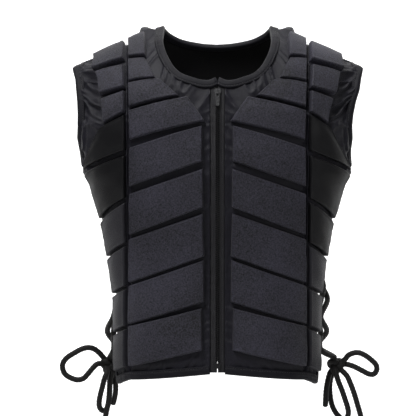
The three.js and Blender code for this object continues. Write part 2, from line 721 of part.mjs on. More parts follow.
function armholeBinding() {
  const beside = (rows) => rows.filter((row) => row.outer > -ARMHOLE_BINDING_DOWN)
    .map((row) => ({ across: 2, up: row.outer }));
  const front = beside(frontRows);
  const back = beside(backGridRows);
  const unique = back.filter((p, i) => i === 0 || p.up !== back[i - 1].up).reverse().slice(1);
  return tape([
    ...edgePlaces('front', 1, front, TOWARDS_CENTRE),
    ...edgePlaces('back', 1, unique, TOWARDS_CENTRE),
  ]);
}

function hemBinding() {
  return tape(PANEL_COLUMNS.map((share) => {
    const place = panelPlace('front', frontRows[0], share);
    return { ...place, side: 1, towards: UPWARDS };
  }));
}

function backHemBinding() {
  const unique = backGridColumns.filter((c, i) => i === 0 || c.across !== backGridColumns[i - 1].across);
  const hemPlace = (column) => backPlace(backGridRows[0], column);
  const right = unique.map((column) => ({ ...hemPlace(column), side: 1, towards: UPWARDS }));
  const left = right.slice(1).reverse().map((place) => ({ ...place, side: -1 }));
  return tape([...left, ...right]);
}

// One half of the zip: tape and half of the coil, along the panel's edge.
function zipHalf() {
  const rows = frontRows.filter((row) => row.low < NECK_LOW);
  const levels = rows.map((row) => row.low);
  const chainTop = sliderPlace.up;
  const boxTop = hemLow + (BOX_ABOVE_HEM + BOX_HEIGHT + GAP) / SIDE_LENGTH;
  const strip = (list, section) => loft(
    list.map((up) => section.map(([x, height]) => at('front', x / SEAM_HALF_WIDTH, up, height))),
    section,
  );
  const tapeSection = [
    [CHAIN_HALF_WIDTH - TAPE_LAP, -TAPE_SINK - TAPE_THICKNESS],
    [CHAIN_HALF_WIDTH - TAPE_LAP, -TAPE_SINK],
    [ZIP_HALF_OPENING - 2 * GAP, -TAPE_SINK],
    [ZIP_HALF_OPENING - 2 * GAP, -TAPE_SINK - TAPE_THICKNESS],
  ];
  const chainSection = [
    [HALF_GAP, CHAIN_PROUD - CHAIN_DEPTH],
    [HALF_GAP, CHAIN_PROUD],
    [CHAIN_HALF_WIDTH, CHAIN_PROUD],
    [CHAIN_HALF_WIDTH, CHAIN_PROUD - CHAIN_DEPTH],
  ];
  const chainLevels = levels.filter(
    (up) => up > boxTop + CHAIN_END_STEP && up < chainTop - CHAIN_END_STEP,
  );
  const chain = strip([boxTop, ...chainLevels, chainTop], chainSection);
  return joined(strip(levels, tapeSection), chain);
}

// The slider sits on the centre line, tilted with the chest.
const sliderPlace = (() => {
  const below = BINDING_WIDTH + 1 + SLIDER_LENGTH / 2;
  const target = spot('front', 0, NECK_LOW).z - below;
  let low = 0;
  let high = 1;
  while (high - low > 1e-6) {
    const middle = (low + high) / 2;
    if (spot('front', 0, middle).z < target) low = middle;
    else high = middle;
  }
  const [, rise] = slopes('front', STEP * 2, low);
  return { up: low, point: spot('front', 0, low), tilt: -Math.atan2(rise.y, rise.z) };
})();

function boxAt(x, y, z, centre) {
  return new THREE.BoxGeometry(x, y, z).translate(...centre);
}

function plate(outline, thickness, y) {
  const shape = new THREE.Shape(outline.map(([x, z]) => new THREE.Vector2(x, z)));
  const geometry = new THREE.ExtrudeGeometry(shape, { depth: thickness, bevelEnabled: false });
  geometry.rotateX(RIGHT_ANGLE);
  return geometry.translate(0, y, 0);
}

const sliderFace = -CHAIN_PROUD - SLIDER_CLEARANCE;
const pinForward = sliderFace - SLIDER_PLATE - SLIDER_CLEARANCE - PULL_PIN_RADIUS;

function zipSlider() {
  const halfLength = SLIDER_LENGTH / 2;
  const outline = [
    [-SLIDER_TAIL_HALF_WIDTH, -halfLength], [SLIDER_TAIL_HALF_WIDTH, -halfLength],
    [SLIDER_TAIL_HALF_WIDTH, -halfLength / 3], [SLIDER_HALF_WIDTH, halfLength / 3],
    [SLIDER_NOSE_HALF_WIDTH, halfLength], [-SLIDER_NOSE_HALF_WIDTH, halfLength],
    [-SLIDER_HALF_WIDTH, halfLength / 3], [-SLIDER_TAIL_HALF_WIDTH, -halfLength / 3],
  ];
  const backFace = CHAIN_DEPTH - CHAIN_PROUD + SLIDER_CLEARANCE;
  const postDepth = backFace - sliderFace + SLIDER_PLATE;
  const postY = (backFace + sliderFace) / 2;
  const legReach = sliderFace - pinForward + PULL_PIN_RADIUS + SLIDER_CLEARANCE + BRIDGE_BAR;
  const legY = sliderFace - legReach / 2;
  const legZ = (BRIDGE_OPENING + BRIDGE_LEG) / 2;
  const barY = sliderFace - legReach + BRIDGE_BAR / 2;
  const width = 2 * BRIDGE_HALF_WIDTH;
  return joined(
    plate(outline, SLIDER_PLATE, sliderFace),
    plate(outline, SLIDER_PLATE, backFace + SLIDER_PLATE),
    boxAt(2 * POST_HALF_WIDTH, postDepth, halfLength - 1, [0, postY, halfLength / 2 + 0.5]),
    boxAt(width, legReach, BRIDGE_LEG, [0, legY, legZ]),
    boxAt(width, legReach, BRIDGE_LEG, [0, legY, -legZ]),
    boxAt(width, BRIDGE_BAR, BRIDGE_OPENING + 2 * BRIDGE_LEG, [0, barY, 0]),
  );
}

// The pull hangs from a pin through the slider's bridge; its origin is the pin.
function zipPull() {
  const inside = BRIDGE_HALF_WIDTH + SLIDER_CLEARANCE;
  const outside = inside + PULL_ARM_WIDTH;
  const half = PULL_THICKNESS / 2;
  const pin = new THREE.CylinderGeometry(PULL_PIN_RADIUS, PULL_PIN_RADIUS, 2 * (inside + PIN_SEAT), 10);
  pin.rotateZ(RIGHT_ANGLE);
  const arm = PULL_SLOT_LENGTH + PULL_ARM_OVERLAP;
  const armX = inside + PULL_ARM_WIDTH / 2;
  const armZ = PULL_PIN_RADIUS - arm / 2;
  const side = (sign) => boxAt(PULL_ARM_WIDTH, PULL_THICKNESS, arm, [sign * armX, 0, armZ]);
  const shoulder = -PULL_SLOT_LENGTH - PULL_CHAMFER;
  const tip = PULL_TIP_HALF_WIDTH - PULL_TIP_CHAMFER;
  const tab = plate([
    [-outside, -PULL_SLOT_LENGTH], [-outside, shoulder],
    [-PULL_TIP_HALF_WIDTH, -PULL_LENGTH + PULL_CHAMFER], [-tip, -PULL_LENGTH],
    [tip, -PULL_LENGTH], [PULL_TIP_HALF_WIDTH, -PULL_LENGTH + PULL_CHAMFER],
    [outside, shoulder], [outside, -PULL_SLOT_LENGTH],
  ], PULL_THICKNESS, half);
  return joined(pin, side(1), side(-1), tab);
}

function zipBox() {
  const up = hemLow + (BOX_ABOVE_HEM + BOX_HEIGHT / 2) / SIDE_LENGTH;
  const centre = spot('front', 0, up);
  const core = 2 * (CHAIN_HALF_WIDTH - GAP - TAPE_LAP);
  const capDepth = TAPE_SINK + CHAIN_PROUD + BOX_PROUD - GAP;
  const coreY = centre.y + CHAIN_DEPTH / 2 - CHAIN_PROUD;
  const capY = centre.y + TAPE_SINK - GAP - capDepth / 2;
  return joined(
    boxAt(core, CHAIN_DEPTH, BOX_HEIGHT, [0, coreY, centre.z]),
    boxAt(2 * BOX_HALF_WIDTH, capDepth, BOX_HEIGHT, [0, capY, centre.z]),
  );
}

// Cords
function cordShape() {
  const shape = new THREE.Shape();
  for (let i = 0; i < CORD_SIDES; i += 1) {
    const angle = (i * 2 * Math.PI) / CORD_SIDES;
    const x = (Math.cos(angle) * CORD_DIAMETER) / 2;
    const y = (Math.sin(angle) * CORD_DIAMETER) / 2;
    if (i === 0) shape.moveTo(x, y);
    else shape.lineTo(x, y);
  }
  return shape;
}

function cord(points) {
  const places = points.map((p) => new THREE.Vector3(...p));
  const curve = new THREE.CatmullRomCurve3(places, false, 'centripetal');
  const steps = Math.ceil(curve.getLength() / (CORD_STEP * CORD_DIAMETER));
  return new THREE.ExtrudeGeometry(cordShape(), { steps, extrudePath: curve, bevelEnabled: false });
}

function bow(route) {
  const knot = new THREE.SphereGeometry(KNOT_RADIUS, 12, 8);
  knot.scale(1, KNOT_FLATTENING, 1).translate(...route.knot);
  return joined(knot, cord(route.sideLoop), cord(route.hangingLoop));
}

// Lacing at a side: one cord that crosses from panel to panel up to the armpit
// and back down, over itself at each crossing.
function lace(side, knot) {
  const lift = CORD_DIAMETER / 2 + LACE_LIFT;
  const level = (i) => -THREE.MathUtils.lerp(LACE_TOP, LACE_BOTTOM, i / (LACE_LEVELS - 1));
  const anchor = (face, i) => at(face, LACE_ACROSS, level(i), lift);
  const middle = (i, over) => {
    const up = (level(i) + level(i + 1)) / 2;
    const x = halfWidth(up) + (over ? lift + CORD_DIAMETER : lift - CORD_DIAMETER / 8);
    return new THREE.Vector3(x, 0, -CHEST_DROP + up * SIDE_LENGTH);
  };
  const strand = (first, over) => {
    const faces = first === 'front' ? ['front', 'back'] : ['back', 'front'];
    const points = [];
    for (let i = 0; i < LACE_LEVELS; i += 1) {
      points.push(anchor(faces[i % 2], i));
      if (i < LACE_LEVELS - 1) points.push(middle(i, over));
    }
    return points;
  };
  const reach = KNOT_RADIUS + GAP + LACE_END_LIFT;
  const end = (last) => {
    const y = last.y > 0 ? LACE_END_SPREAD : -LACE_END_SPREAD;
    const z = knot[2] + Math.sqrt(reach ** 2 - y ** 2);
    return new THREE.Vector3(Math.abs(knot[0]) - LACE_END_INSET, y, z);
  };
  const under = strand('back', false).reverse();
  const top = new THREE.Vector3(halfWidth(level(0)) + lift, 0, anchor('front', 0).z + CORD_DIAMETER);
  const over = strand('front', true);
  const points = [end(under[0]), ...under, top, ...over, end(over.at(-1))];
  return cord(points.map((p) => [p.x * side, p.y, p.z]));
}

// The vest
const shell = frontShell();
addPair('shell_front_SIDE', shell, 'panel');
addBlocks();
const backHalf = backShell();
addMesh('shell_back', joined(backHalf, mirrored(backHalf)), 'panel');
addMesh('binding_neck', neckBinding(), 'binding');
addPair('binding_armhole_SIDE', armholeBinding(), 'binding');
addPair('binding_hem_SIDE', hemBinding(), 'binding');
addMesh('binding_hem_back', backHemBinding(), 'binding');

addPair('zip_half_SIDE', zipHalf(), 'zip');
addMesh('zip_bottom_box', zipBox(), 'metal');
const slider = new THREE.Group();
slider.position.copy(sliderPlace.point);
slider.rotation.x = sliderPlace.tilt;
vest.add(slider);
addMesh('zip_slider', zipSlider(), 'metal', slider);
addMesh('zip_pull', zipPull(), 'metal', slider).position.set(0, pinForward, 0);

for (const [side, sign] of [['left', -1], ['right', 1]]) {
  const route = ROUTES[side];
  addMesh(`lace_${side}`, lace(sign, route.knot), 'cord');
  addMesh(`bow_${side}`, bow(route), 'cord');
  addMesh(`lace_end_long_${side}`, cord(route.longEnd), 'cord');
  addMesh(`lace_end_short_${side}`, cord(route.shortEnd), 'cord');
}

export default vest;
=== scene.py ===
"""The visual model of a padded riding vest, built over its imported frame."""
import math

import bpy
import numpy as np
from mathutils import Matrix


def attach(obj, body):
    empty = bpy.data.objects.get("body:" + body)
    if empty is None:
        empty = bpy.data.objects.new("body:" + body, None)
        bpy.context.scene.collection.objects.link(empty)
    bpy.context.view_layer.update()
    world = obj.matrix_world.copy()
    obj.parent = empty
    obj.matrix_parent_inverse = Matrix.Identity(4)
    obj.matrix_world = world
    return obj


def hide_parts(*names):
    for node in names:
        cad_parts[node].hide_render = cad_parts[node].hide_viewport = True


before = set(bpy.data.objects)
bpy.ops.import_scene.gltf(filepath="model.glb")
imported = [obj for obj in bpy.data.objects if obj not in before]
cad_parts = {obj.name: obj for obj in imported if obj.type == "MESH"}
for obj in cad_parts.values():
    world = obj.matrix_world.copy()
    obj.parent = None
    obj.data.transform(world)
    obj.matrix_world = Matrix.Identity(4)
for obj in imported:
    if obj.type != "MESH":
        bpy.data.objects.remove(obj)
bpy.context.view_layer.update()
MM = 0.001

# Camera

camera_data = bpy.data.cameras.new("camera")
camera_data.sensor_width = 36
camera_data.lens = 139.6
camera = bpy.data.objects.new("camera", camera_data)
camera.location = (-0.014, -2.5, -0.257)
camera.rotation_euler = (math.radians(90), 0, 0)
bpy.context.scene.collection.objects.link(camera)
bpy.context.scene.camera = camera
bpy.context.scene.view_settings.view_transform = "Standard"

# Sizes of the vest, in millimetres

CHEST_DROP = 150
SIDE_LENGTH = 376
CENTRE_LENGTH = 351
NECK_RISE = 16
SHOULDER_FALL = 62
CHEST_HALF_WIDTH = 222
DEPTH = {"front": 118, "back": 105}
RIDGE_SETBACK = 12
SEAM_HALF_WIDTH = 132
SEAM_SPREAD = 6
SECTION_POWER = 2.5
SHOULDER_POWER = 2.2
ARMHOLE_EDGE_ANGLE = 72
SIDE_EDGE_ANGLE = 82
ARMPIT_DOWN = 0.15
WALL = 3
PAD_RISE = 10
BACK_PAD_RISE = 8.4
PAD_SUNK = 1.0
CORD_DIAMETER = 8.5
ZIP_HALF_OPENING = 11
SHOULDER_SPAN = 190
SIDE_SPAN = 125
RIDGE_GAP = 0.1
EDGE_FORWARD = 17
HEM_UP = -CENTRE_LENGTH / SIDE_LENGTH
# where each of these starts, and how far on it is full: shares across or up, and millimetres for SWAY_OUT
EDGE_TURN = (1.55, 0.45)
EDGE_TURN_LOW = (-0.3, 0.4)
EDGE_TURN_TOP = (1, -0.2)
CREST = (0.94, 0.06)
SWAY_OUT = (130, 60)

# down, half width, front depth and back depth, as shares
BODY = np.array([
    (0, 1, 1, 1), (0.075, 0.934, 1.004, 1), (0.144, 0.896, 1, 0.981), (0.253, 0.842, 0.966, 0.924),
    (0.335, 0.802, 0.932, 0.876), (0.418, 0.766, 0.898, 0.838), (0.489, 0.743, 0.881, 0.819),
    (0.646, 0.703, 0.873, 0.838), (0.8, 0.696, 0.907, 0.886), (1, 0.696, 0.949, 0.952),
])
# distance out and fall of the shoulder ridge, as shares
RIDGE = np.array([(0, 0), (0.33, 0), (0.48, 0.11), (0.63, 0.34), (0.838, 0.677), (0.977, 0.903), (1.036, 1)])
# knot, inner edge, its height, outer edge's height
ZIP_EDGE = ZIP_HALF_OPENING / SEAM_HALF_WIDTH
FRONT_ROWS = np.array([
    (0, ZIP_EDGE, HEM_UP, -1), (14, ZIP_EDGE, 0.298, 0.3), (15, 0.17, 0.3, 0.352), (16, 0.27, 0.315, 0.415),
    (17, 0.42, 0.352, 0.48), (18, 0.52, 0.425, 0.56), (19, 0.59, 0.54, 0.66), (20, 0.62, 0.66, 0.76),
    (22, 0.62, 0.8, 0.87), (24, 0.6, 1, 1),
])
BACK_ROWS = np.array([
    (0, 0, HEM_UP, -1), (14, 0, 0.7, 0.72), (15, 0.2, 0.715, 0.77), (16, 0.4, 0.765, 0.83),
    (17, 0.53, 0.86, 0.89), (18, 0.59, 0.94, 0.95), (19, 0.6, 1, 1),
])
# height, and how far out the left and the right armhole hang there, in millimetres
SWAY = np.array([
    (-221, 0, 0), (-203, 6, 6), (-186, 4, 1), (-168, 0, -6), (-150, -4, -11), (-132, -5, -12),
    (-114, -5, -10), (-96, -4, -6), (-78, -2, 0), (-61, 0, 3), (-43, 6, 8), (-25, 1, 3), (0, 0, 0),
])
# distance out and height of the cloth bunched beside the neck, in millimetres
COLLAR = np.array([(60, 10), (78, 10), (86, 8), (92, 8), (98, 11), (104, 15), (112, 15), (118, 8), (124, 0)])
COLLAR_REACH = 0.1
# near edge's place and height, seam's height, at the top and then at the bottom
INNER_BLOCKS = [
    (0.8, 1, 1, 0.797, 0.515, 0.559), (0.8, 0.475, 0.523, 0.686, 0.323, 0.34),
    (0.655, 0.304, 0.315, 0.435, 0.21, 0.165), (0.346, 0.191, 0.13, 0.15, 0.073, -0.012),
    (0.18, 0.036, -0.049, 0.18, -0.098, -0.195), (0.175, -0.133, -0.23, 0.17, -0.276, -0.387),
    (0.175, -0.308, -0.409, 0.158, -0.471, -0.579), (0.163, -0.492, -0.597, 0.158, -0.653, -0.748),
    (0.182, -0.683, -0.76, 0.18, -0.843, -0.915),
]
# seam's height, far edge's place and height, at the top and then at the bottom
OUTER_BLOCKS = [
    (1, 1.55, 1, 0.556, 1.46, 0.575), (0.482, 1.4, 0.504, 0.305, 1.4, 0.3),
    (0.267, 1.38, 0.248, 0.14, 1.35, 0.08), (0.105, 1.38, 0.045, -0.052, 1.77, -0.125),
    (-0.078, 1.77, -0.15, -0.239, 1.7, -0.321), (-0.262, 1.7, -0.344, -0.417, 1.7, -0.475),
    (-0.436, 1.7, -0.494, -0.592, 1.7, -0.627), (-0.611, 1.7, -0.646, -0.755, 1.7, -0.786),
    (-0.774, 1.7, -0.805, -0.917, 1.7, -0.945),
]
INNER_SEAM_EDGE = 0.966
OUTER_SEAM_EDGE = 1.036
# low and high, then near and far
BACK_BLOCKS = [(-0.88, -0.62), (-0.58, -0.3), (-0.26, 0), (0.04, 0.31), (0.35, 0.6)]
BACK_COLUMNS = [(0.05, 0.955), (1.05, 1.62)]

# The body's surface


def through(table, key, values):
    """A smooth line through the table's rows."""
    xs, ys = table[:, 0], table[:, key]
    n = len(xs)
    slopes = np.array([
        (ys[min(i + 1, n - 1)] - ys[max(i - 1, 0)]) / (xs[min(i + 1, n - 1)] - xs[max(i - 1, 0)])
        for i in range(n)
    ])
    values = np.asarray(values, float)
    i = np.clip(np.searchsorted(xs, values) - 1, 0, n - 2)
    width = xs[i + 1] - xs[i]
    t = np.clip((values - xs[i]) / width, 0, 1)
    rise = ys[i + 1] - ys[i]
    bend = (width * slopes[i] - rise) * (1 - t) + (rise - width * slopes[i + 1]) * t
    return ys[i] + rise * t + bend * t * (1 - t)


def ramp(values, start, width):
    """0 up to the start and 1 from a width further on. A negative width runs the other way."""
    return np.clip((values - start) / width, 0, 1)


def hump(values, width):
    """1 where the values are 0, and little past the width."""
    return np.exp(-((values / width) ** 2))


def edge_line(table, key, values):
    """Straight up to the table's second row and smooth above it."""
    values = np.asarray(values, float)
    first, second = table[0], table[1]
    straight = first[key] + (second[key] - first[key]) * values / second[0]
    return np.where(values <= second[0], straight, through(table[1:], key, values))


def ridge_height(x):
    return NECK_RISE - SHOULDER_FALL * through(RIDGE, 1, x / CHEST_HALF_WIDTH)


def half_width(up):
    return CHEST_HALF_WIDTH * through(BODY, 1, np.maximum(-up, 0))


def spot(face, across, up):
    """A place on the right half's surface. across is 0 in the middle, 1 at the seam and 2 at the edge;
    up is -1 at the hem's side, 0 at the chest and 1 on the shoulder's ridge."""
    across, up = np.broadcast_arrays(np.asarray(across, float), np.asarray(up, float))
    down = np.maximum(-up, 0)
    half = half_width(up)
    seam = SEAM_HALF_WIDTH + SEAM_SPREAD * np.maximum(up, 0)
    seam_angle = np.arcsin((seam / half) ** (SECTION_POWER / 2))
    edge_share = ramp(up, 0, -ARMPIT_DOWN)
    edge_angle = np.radians(ARMHOLE_EDGE_ANGLE + (SIDE_EDGE_ANGLE - ARMHOLE_EDGE_ANGLE) * edge_share)
    inner_x = across * seam
    inner_angle = np.arcsin(np.minimum(np.abs(inner_x) / half, 1) ** (SECTION_POWER / 2))
    outer_angle = seam_angle + (across - 1) * (edge_angle - seam_angle)
    outer_x = half * np.abs(np.sin(outer_angle)) ** (2 / SECTION_POWER)
    angle = np.where(across <= 1, inner_angle, outer_angle)
    x = np.where(across <= 1, inner_x, outer_x)
    key, sign = (2, -1) if face == "front" else (3, 1)
    depth = DEPTH[face] * through(BODY, key, down) * np.abs(np.cos(angle)) ** (2 / SECTION_POWER)
    lean = np.clip(up, 0, 1) * math.pi / 2
    reach = depth - sign * RIDGE_SETBACK
    cosine = np.maximum(np.cos(lean), 0) ** (2 / SHOULDER_POWER)
    sine = np.sin(lean) ** (2 / SHOULDER_POWER)
    y = np.where(up > 0, RIDGE_SETBACK + sign * reach * cosine, sign * depth)
    if face == "front":
        turned = ramp(across, *EDGE_TURN) ** 2
        y = y - EDGE_FORWARD * turned * ramp(up, *EDGE_TURN_LOW) * ramp(up, *EDGE_TURN_TOP)
    z_low = -CHEST_DROP + up * SIDE_LENGTH
    z_high = -CHEST_DROP + (ridge_height(x) + CHEST_DROP) * sine
    return np.stack([x, y, np.where(up > 0, z_high, z_low)], -1)


def slopes(face, across, up):
    """How the surface runs on per step across and per step up."""
    step = 1e-3
    up = np.minimum(up, 1 - 2e-3)
    d_across = (spot(face, across + step, up) - spot(face, across - step, up)) / (2 * step)
    d_up = (spot(face, across, up + step) - spot(face, across, up - step)) / (2 * step)
    return d_across, d_up


def unit(vectors):
    return vectors / np.maximum(np.linalg.norm(vectors, axis=-1, keepdims=True), 1e-12)


def outward(face, across, up):
    """Unit vectors out of the surface, turned to the ridge's own at the shoulder."""
    across, up = np.broadcast_arrays(np.asarray(across, float), np.asarray(up, float))
    d_across, d_up = slopes(face, across, up)
    normal = unit(np.cross(d_across, d_up))
    if face == "back":
        normal = -normal
    x = spot(face, across, up)[..., 0]
    tilt = -(ridge_height(x + 1) - ridge_height(x - 1)) / 2
    crest = unit(np.stack([tilt, np.zeros_like(tilt), np.ones_like(tilt)], -1))
    share = ramp(up, *CREST)[..., None]
    return unit(normal * (1 - share) + crest * share)


def collar_lift(across, up):
    """The bunched cloth beside the neck stands above the shoulder ridge."""
    x = np.abs(across) * (SEAM_HALF_WIDTH + SEAM_SPREAD * np.maximum(up, 0))
    return np.interp(x, *COLLAR.T) * hump(1 - np.minimum(up, 1), COLLAR_REACH)


def at(face, across, up, height, lifted=True):
    """Points at a height over the surface, on their own side of the shoulder's ridge."""
    across, up = np.broadcast_arrays(np.asarray(across, float), np.asarray(up, float))
    rise = height + (collar_lift(across, up) if lifted else 0)
    points = spot(face, across, up) + outward(face, across, up) * np.asarray(rise)[..., None]
    if face == "back":
        points[..., 1] = np.maximum(points[..., 1], RIDGE_SETBACK + RIDGE_GAP)
    else:
        points[..., 1] = np.minimum(points[..., 1], RIDGE_SETBACK - RIDGE_GAP)
    return points


def moved(face, across, up, vectors):
    """The place a step along the face leads to."""
    d_across, d_up = slopes(face, across, up)
    aa = (d_across * d_across).sum(-1)
    ab = (d_across * d_up).sum(-1)
    bb = (d_up * d_up).sum(-1)
    va = (vectors * d_across).sum(-1)
    vb = (vectors * d_up).sum(-1)
    fall = aa * bb - ab * ab
    return across + (va * bb - vb * ab) / fall, up + (vb * aa - va * ab) / fall


# Seeded noise for creases

LATTICE_SIZE = 256
SEED_STEP = (31.7, 17.3)
lattice = np.random.default_rng(7).random((LATTICE_SIZE, LATTICE_SIZE))


def noise(x, y, seed=0):
    """Smooth noise from -1 to 1 with cells of size 1."""
    x = np.asarray(x, float) + SEED_STEP[0] * seed
    y = np.asarray(y, float) + SEED_STEP[1] * seed
    x, y = np.broadcast_arrays(x, y)
    ix, iy = np.floor(x).astype(int), np.floor(y).astype(int)
    fx, fy = x - ix, y - iy
    fx, fy = fx * fx * (3 - 2 * fx), fy * fy * (3 - 2 * fy)

    def corner(a, b):
        return lattice[(ix + a) % LATTICE_SIZE, (iy + b) % LATTICE_SIZE]

    low = corner(0, 0) * (1 - fx) + corner(1, 0) * fx
    high = corner(0, 1) * (1 - fx) + corner(1, 1) * fx
    return 2 * (low * (1 - fy) + high * fy) - 1


def creases(along, aside, length, spacing, seed):
    """Creases that run aside from a seam: soft valleys between sharp folds, from about -1.4 to 0.8."""
    wave = noise(along / spacing, aside / length, seed)
    wave = wave + 0.4 * noise(2.1 * along / spacing, aside / length, seed + 3)
    return 1 - 2.4 * np.sqrt(np.minimum(np.abs(wave), 1) + 0.01)


# Materials


WEAR_SCALE = 26.0
TONE_SCALE = 9.0
FIBRE_SCALE = 480.0
WEAR_SHARE = 0.25
TONE_SHARE = 0.5
THREAD_SHARE = 0.2
FIBRE_SHARE = 0.95
CLOTH_MIDDLE = 0.48


def node(tree, kind, operation=None, **sockets):
    made = tree.nodes.new(kind)
    if operation:
        made.operation = operation
    for name, value in sockets.items():
        made.inputs[name].default_value = value
    return made


def math_node(tree, operation, first, second=None):
    made = node(tree, "ShaderNodeMath", operation)
    for socket, value in zip(made.inputs, (first, second)):
        if value is None:
            continue
        if isinstance(value, (int, float)):
            socket.default_value = value
        else:
            tree.links.new(value, socket)
    return made.outputs[0]


def summed(tree, *parts):
    """The sum of outputs, each times its share."""
    total = None
    for output, share in parts:
        part = math_node(tree, "MULTIPLY", output, share)
        total = part if total is None else math_node(tree, "ADD", total, part)
    return total


def noise_output(tree, place, scale, detail, **sockets):
    made = node(tree, "ShaderNodeTexNoise", Scale=scale, Detail=detail, **sockets)
    tree.links.new(place.outputs["Object"], made.inputs["Vector"])
    return made.outputs["Fac"]


def coloured(tree, mix, colour, spread, positions):
    """The base colour runs from darker to lighter with the mix."""
    tones = tree.nodes.new("ShaderNodeValToRGB")
    for element, position, share in zip(tones.color_ramp.elements, positions, (1 - spread, 1 + spread)):
        element.position = position
        element.color = (*[c * share for c in colour], 1)
    tree.links.new(mix, tones.inputs["Fac"])
    tree.links.new(tones.outputs["Color"], tree.nodes["Principled BSDF"].inputs["Base Color"])


def surfaced(tree, wear, roughness, wear_share, height, strength, relief):
    """Roughness varies with wear, and a bump follows the height. relief is its depth in millimetres."""
    shader = tree.nodes["Principled BSDF"]
    worn = math_node(tree, "ADD", math_node(tree, "MULTIPLY", wear, wear_share), roughness - wear_share / 2)
    tree.links.new(worn, shader.inputs["Roughness"])
    bump = node(tree, "ShaderNodeBump", Strength=strength, Distance=relief * MM)
    tree.links.new(height, bump.inputs["Height"])
    tree.links.new(bump.outputs["Normal"], shader.inputs["Normal"])


def cloth(name, colour, roughness, weave, relief, sheen=0.3, spread=0.25, twill=0.0, specular=0.35):
    """Woven cloth. weave is threads per millimetre of the UV map."""
    material = bpy.data.materials.new(name)
    material.use_nodes = True
    tree = material.node_tree
    shader = tree.nodes["Principled BSDF"]
    shader.inputs["Sheen Weight"].default_value = sheen
    shader.inputs["Sheen Roughness"].default_value = 0.5
    shader.inputs["Specular IOR Level"].default_value = specular
    flat_place = tree.nodes.new("ShaderNodeUVMap")
    flat_place.uv_map = "cloth"
    split = tree.nodes.new("ShaderNodeSeparateXYZ")
    tree.links.new(flat_place.outputs["UV"], split.inputs[0])
    turn = 2 * math.pi * weave
    u = math_node(tree, "MULTIPLY", split.outputs["X"], turn)
    v = math_node(tree, "MULTIPLY", split.outputs["Y"], turn)
    slant = math_node(tree, "ADD", u, math_node(tree, "MULTIPLY", v, twill))
    warp = math_node(tree, "ABSOLUTE", math_node(tree, "SINE", slant))
    weft = math_node(tree, "ABSOLUTE", math_node(tree, "SINE", v))
    threads = math_node(tree, "MULTIPLY", math_node(tree, "ADD", warp, weft), 0.5)
    place = tree.nodes.new("ShaderNodeTexCoord")
    wear = noise_output(tree, place, WEAR_SCALE, 5.0, Roughness=0.6)
    fibre = noise_output(tree, place, FIBRE_SCALE, 1.5)
    tone = noise_output(tree, place, TONE_SCALE, 1.0)
    mix = summed(tree, (wear, WEAR_SHARE), (tone, TONE_SHARE), (threads, THREAD_SHARE), (fibre, FIBRE_SHARE))
    coloured(tree, math_node(tree, "SUBTRACT", mix, CLOTH_MIDDLE), colour, spread, (0.25, 0.75))
    height = math_node(tree, "ADD", threads, math_node(tree, "MULTIPLY", fibre, 0.5))
    surfaced(tree, wear, roughness, 0.16, height, 0.7, relief)
    return material


def hard(name, colour, roughness, metallic, relief):
    """Plastic or metal with fine wear."""
    material = bpy.data.materials.new(name)
    material.use_nodes = True
    tree = material.node_tree
    tree.nodes["Principled BSDF"].inputs["Metallic"].default_value = metallic
    wear = noise_output(tree, tree.nodes.new("ShaderNodeTexCoord"), 340.0, 6.0, Roughness=0.65)
    coloured(tree, wear, colour, 0.2, (0.35, 0.7))
    surfaced(tree, wear, roughness, 0.2, wear, 0.5, relief)
    return material


panel_cloth = cloth("panel_cloth", (0.0092, 0.0088, 0.0132),
                    roughness=0.44, weave=0.9, relief=0.16, sheen=0.012, specular=0.17)
block_cloth = cloth("block_cloth", (0.0186, 0.0178, 0.0266),
                    roughness=0.6, weave=0.62, relief=0.3, sheen=0.05, spread=0.92, specular=0.25)
smooth_cloth = cloth("smooth_cloth", (0.0135, 0.013, 0.0172),
                     roughness=0.5, weave=1.7, relief=0.08, sheen=0.04, spread=0.25, specular=0.25)
satin_cloth = cloth("satin_cloth", (0.005, 0.0049, 0.0058),
                    roughness=0.4, weave=1.6, relief=0.05, sheen=0.01, twill=0.6, specular=0.2)
binding_cloth = cloth("binding_cloth", (0.0056, 0.0054, 0.0084),
                      roughness=0.5, weave=0.8, relief=0.2, sheen=0.015, specular=0.14)
zip_cloth = cloth("zip_cloth", (0.0075, 0.0072, 0.0092),
                  roughness=0.5, weave=1.1, relief=0.18, sheen=0.03, twill=1.0, specular=0.28)
lining_cloth = cloth("lining_cloth", (0.006, 0.0058, 0.0065),
                     roughness=0.75, weave=1.2, relief=0.1, sheen=0.01, specular=0.15)
braid = cloth("braid", (0.0065, 0.006, 0.006),
              roughness=0.6, weave=0.16, relief=0.5, sheen=0.03, twill=1.0, specular=0.22)
thread = cloth("thread", (0.022, 0.021, 0.025), roughness=0.45, weave=1.5, relief=0.08, sheen=0.04)
teeth_plastic = hard("teeth_plastic", (0.008, 0.008, 0.009), roughness=0.32, metallic=0.0, relief=0.05)
metal = hard("metal", (0.15, 0.15, 0.155), roughness=0.24, metallic=1.0, relief=0.03)

# Mesh helpers


def piece(name, points, faces, materials, uvs=None, face_materials=None, body="vest"):
    """A mesh from points in millimetres that rides on a body."""
    mesh = bpy.data.meshes.new(name)
    mesh.from_pydata((np.asarray(points).reshape(-1, 3) * MM).tolist(), [], faces)
    for material in materials:
        mesh.materials.append(material)
    if face_materials is not None:
        mesh.polygons.foreach_set("material_index", face_materials)
    mesh.polygons.foreach_set("use_smooth", [True] * len(mesh.polygons))
    if uvs is not None:
        layer = mesh.uv_layers.new(name="cloth")
        corners = np.empty(len(mesh.loops), int)
        mesh.loops.foreach_get("vertex_index", corners)
        layer.data.foreach_set("uv", np.asarray(uvs).reshape(-1, 2)[corners].ravel())
    mesh.validate()
    obj = bpy.data.objects.new(name, mesh)
    bpy.context.scene.collection.objects.link(obj)
    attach(obj, body)
    return obj


